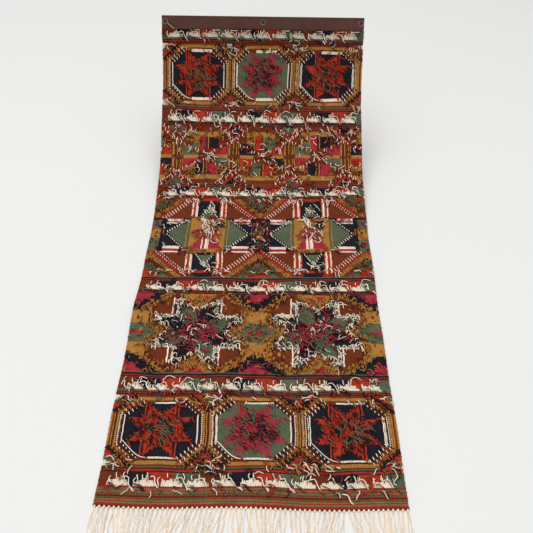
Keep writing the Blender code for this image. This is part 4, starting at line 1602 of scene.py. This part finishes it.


# Loose wool yarn of two plies: matt, a little hairy, with painted shade where the plies part and lighter on
# their tops, and painted shade down to dark at the tube's sides
def yarnMaterial(name, twist, specular=0.1, dark=0.55):
    material, tree, shader = newMaterial(name, 0.9, specular=specular)
    dye = addNode(tree, "ShaderNodeAttribute", {"attribute_name": "yarn"})
    places = addNode(tree, "ShaderNodeUVMap", {"uv_map": "UVMap"})
    parts = addNode(tree, "ShaderNodeSeparateXYZ", None, {0: places.outputs["UV"]})
    around = addNode(tree, "ShaderNodeMath", {"operation": "MULTIPLY"},
                     {0: parts.outputs["X"], 1: 2 * math.pi})
    turns = addNode(tree, "ShaderNodeMath", {"operation": "MULTIPLY_ADD"},
                    {0: parts.outputs["Y"], 1: math.pi / twist * 10, 2: around.outputs[0]})
    ply = addNode(tree, "ShaderNodeMath", {"operation": "SINE"}, {0: turns.outputs[0]})
    plyHeight = addNode(tree, "ShaderNodeMath", {"operation": "ABSOLUTE"}, {0: ply.outputs[0]})
    objectPlaces = addNode(tree, "ShaderNodeTexCoord")
    hair = addNode(tree, "ShaderNodeTexNoise", None,
                   {"Vector": objectPlaces.outputs["Object"], "Scale": 900.0, "Detail": 2.0})
    height = addNode(tree, "ShaderNodeMath", {"operation": "MULTIPLY_ADD"},
                     {0: hair.outputs[0], 1: 0.5, 2: plyHeight.outputs[0]})
    # the tube's top is at a quarter turn; its sides are darkened with painted shade
    upTurn = addNode(tree, "ShaderNodeMath", {"operation": "SINE"}, {0: around.outputs[0]})
    finishSurface(tree, shader, height, {"Strength": 0.5, "Distance": 0.0004}, dye.outputs["Color"],
                  ((height, 0.1, 1.2, 0.72, 1.12, "LINEAR"), (upTurn, -0.35, 0.75, dark, 1.06, "SMOOTHSTEP")))
    return material


# Plain cotton tape: fine even weave, drawn at 1.6 mm so that it shows
def tapeMaterial():
    material, tree, shader = newMaterial("plain_tape", 0.9, specular=0.15)
    places = addNode(tree, "ShaderNodeTexCoord")
    grain = addNode(tree, "ShaderNodeMapping", None,
                    {"Vector": places.outputs["Object"], "Scale": (620.0, 620.0, 620.0)})
    checks = addNode(tree, "ShaderNodeTexNoise", None,
                     {"Vector": grain.outputs[0], "Scale": 1.0, "Detail": 3.0, "Roughness": 0.65})
    broad = addNode(tree, "ShaderNodeTexNoise", None,
                    {"Vector": places.outputs["Object"], "Scale": 26.0, "Detail": 2.0})
    mixed = addNode(tree, "ShaderNodeMath", {"operation": "MULTIPLY_ADD"},
                    {0: broad.outputs[0], 1: 0.5, 2: checks.outputs[0]})
    # the colour follows the grain's height, darker in its low places: painted shade, with a broad random tone
    finishSurface(tree, shader, checks, {"Strength": 0.4, "Distance": 0.0003},
                  tuple(linearColour(yarnDyes["tape"])), ((mixed, 0.45, 1.05, 0.75, 1.2, "LINEAR"),))
    return material


# Nickelled steel wire, drawn and lightly rubbed
def wireMaterial():
    material, tree, shader = newMaterial("ring_wire", 0.3, metallic=1.0)
    places = addNode(tree, "ShaderNodeTexCoord")
    rub = addNode(tree, "ShaderNodeTexNoise", None,
                  {"Vector": places.outputs["Object"], "Scale": 900.0, "Detail": 3.0})
    rough = addNode(tree, "ShaderNodeMapRange", None,
                    {"Value": rub.outputs[0], "To Min": 0.22, "To Max": 0.42})
    tree.links.new(rough.outputs[0], shader.inputs["Roughness"])
    shader.inputs["Base Color"].default_value = (*linearColour("#A8A39B"), 1.0)
    return material


def dress(pieces, material):
    for piece in pieces:
        piece.data.materials.clear()
        piece.data.materials.append(material)
        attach(piece, "root")


# the same build for three yarns, their twist in mm: wool, cotton with only a little painted shade at its
# sides and a slight sheen, and thread in a tight twist
looseYarn = yarnMaterial("loose_wool", 3.0)
warpYarn = yarnMaterial("warp_cotton", 2.4, specular=0.2, dark=0.92)
threadYarn = yarnMaterial("sewing_thread", 1.2)
dress([wovenCloth], weaveMaterial())
dress([slopeFloats, colourJoins, sideTurns, *looseEnds], looseYarn)
dress([sewnTape], tapeMaterial())
dress([tapeStitches, ringThread, tapeEnds], threadYarn)
dress(wireRings, wireMaterial())
dress([warpKnots, warpFringe], warpYarn)

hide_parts("woven_panel")
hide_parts("heading_tape")
for ring, (name, place) in zip(wireRings, rings["places"]):
    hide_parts("ring_" + name)
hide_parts("fringe")
print("stage 6: materials are set and every piece rides on the root")

# Plain pale surface, soft light and the camera at the photograph's angle
view = {
    "place": (0.022, -1.732, 0.722),
    "pitchDown": 41.6,
    "turn": 0.2,
    "roll": 0.7,
    "lens": 49.1,
}
studio = {
    "floorSize": 9.0, "floorGap": 0.0001, "floorColour": "#EDEDEC",
    "sky": 0.52, "skyColour": (1.0, 0.995, 0.985, 1.0),
    "keyPower": 150.0, "keySize": 5.0, "keyPlace": (-0.5, -0.9, 4.2), "keyAim": (-0.1, -0.7, -0.3),
}

bpy.ops.object.select_all(action="DESELECT")
bpy.ops.mesh.primitive_plane_add(size=studio["floorSize"],
                                 location=(0, 0, floorHeight - studio["floorGap"]))
floor = bpy.context.object
floor.name = "pale_floor"
floorPaint, _, floorShader = newMaterial("pale_floor", 0.85)
floorShader.inputs["Base Color"].default_value = (*linearColour(studio["floorColour"]), 1.0)
floor.data.materials.append(floorPaint)

world = bpy.data.worlds.new("soft_room")
bpy.context.scene.world = world
world.use_nodes = True
sky = world.node_tree.nodes["Background"]
sky.inputs["Color"].default_value = studio["skyColour"]
sky.inputs["Strength"].default_value = studio["sky"]

keyData = bpy.data.lights.new("soft_key", "AREA")
keyData.energy = studio["keyPower"]
keyData.size = studio["keySize"]
key = bpy.data.objects.new("soft_key", keyData)
key.location = studio["keyPlace"]
key.rotation_euler = (Vector(studio["keyAim"]) - key.location).to_track_quat("-Z", "Y").to_euler()
bpy.context.collection.objects.link(key)

cameraData = bpy.data.cameras.new("view")
cameraData.lens = view["lens"]
cameraData.sensor_width = 36.0
camera = bpy.data.objects.new("view", cameraData)
camera.matrix_world = (Matrix.Translation(view["place"])
                       @ Matrix.Rotation(math.radians(view["turn"]), 4, "Z")
                       @ Matrix.Rotation(math.radians(90 - view["pitchDown"]), 4, "X")
                       @ Matrix.Rotation(math.radians(view["roll"]), 4, "Z"))
bpy.context.collection.objects.link(camera)
bpy.context.scene.camera = camera
bpy.context.scene.view_settings.view_transform = "Standard"

print("stage 7: done")
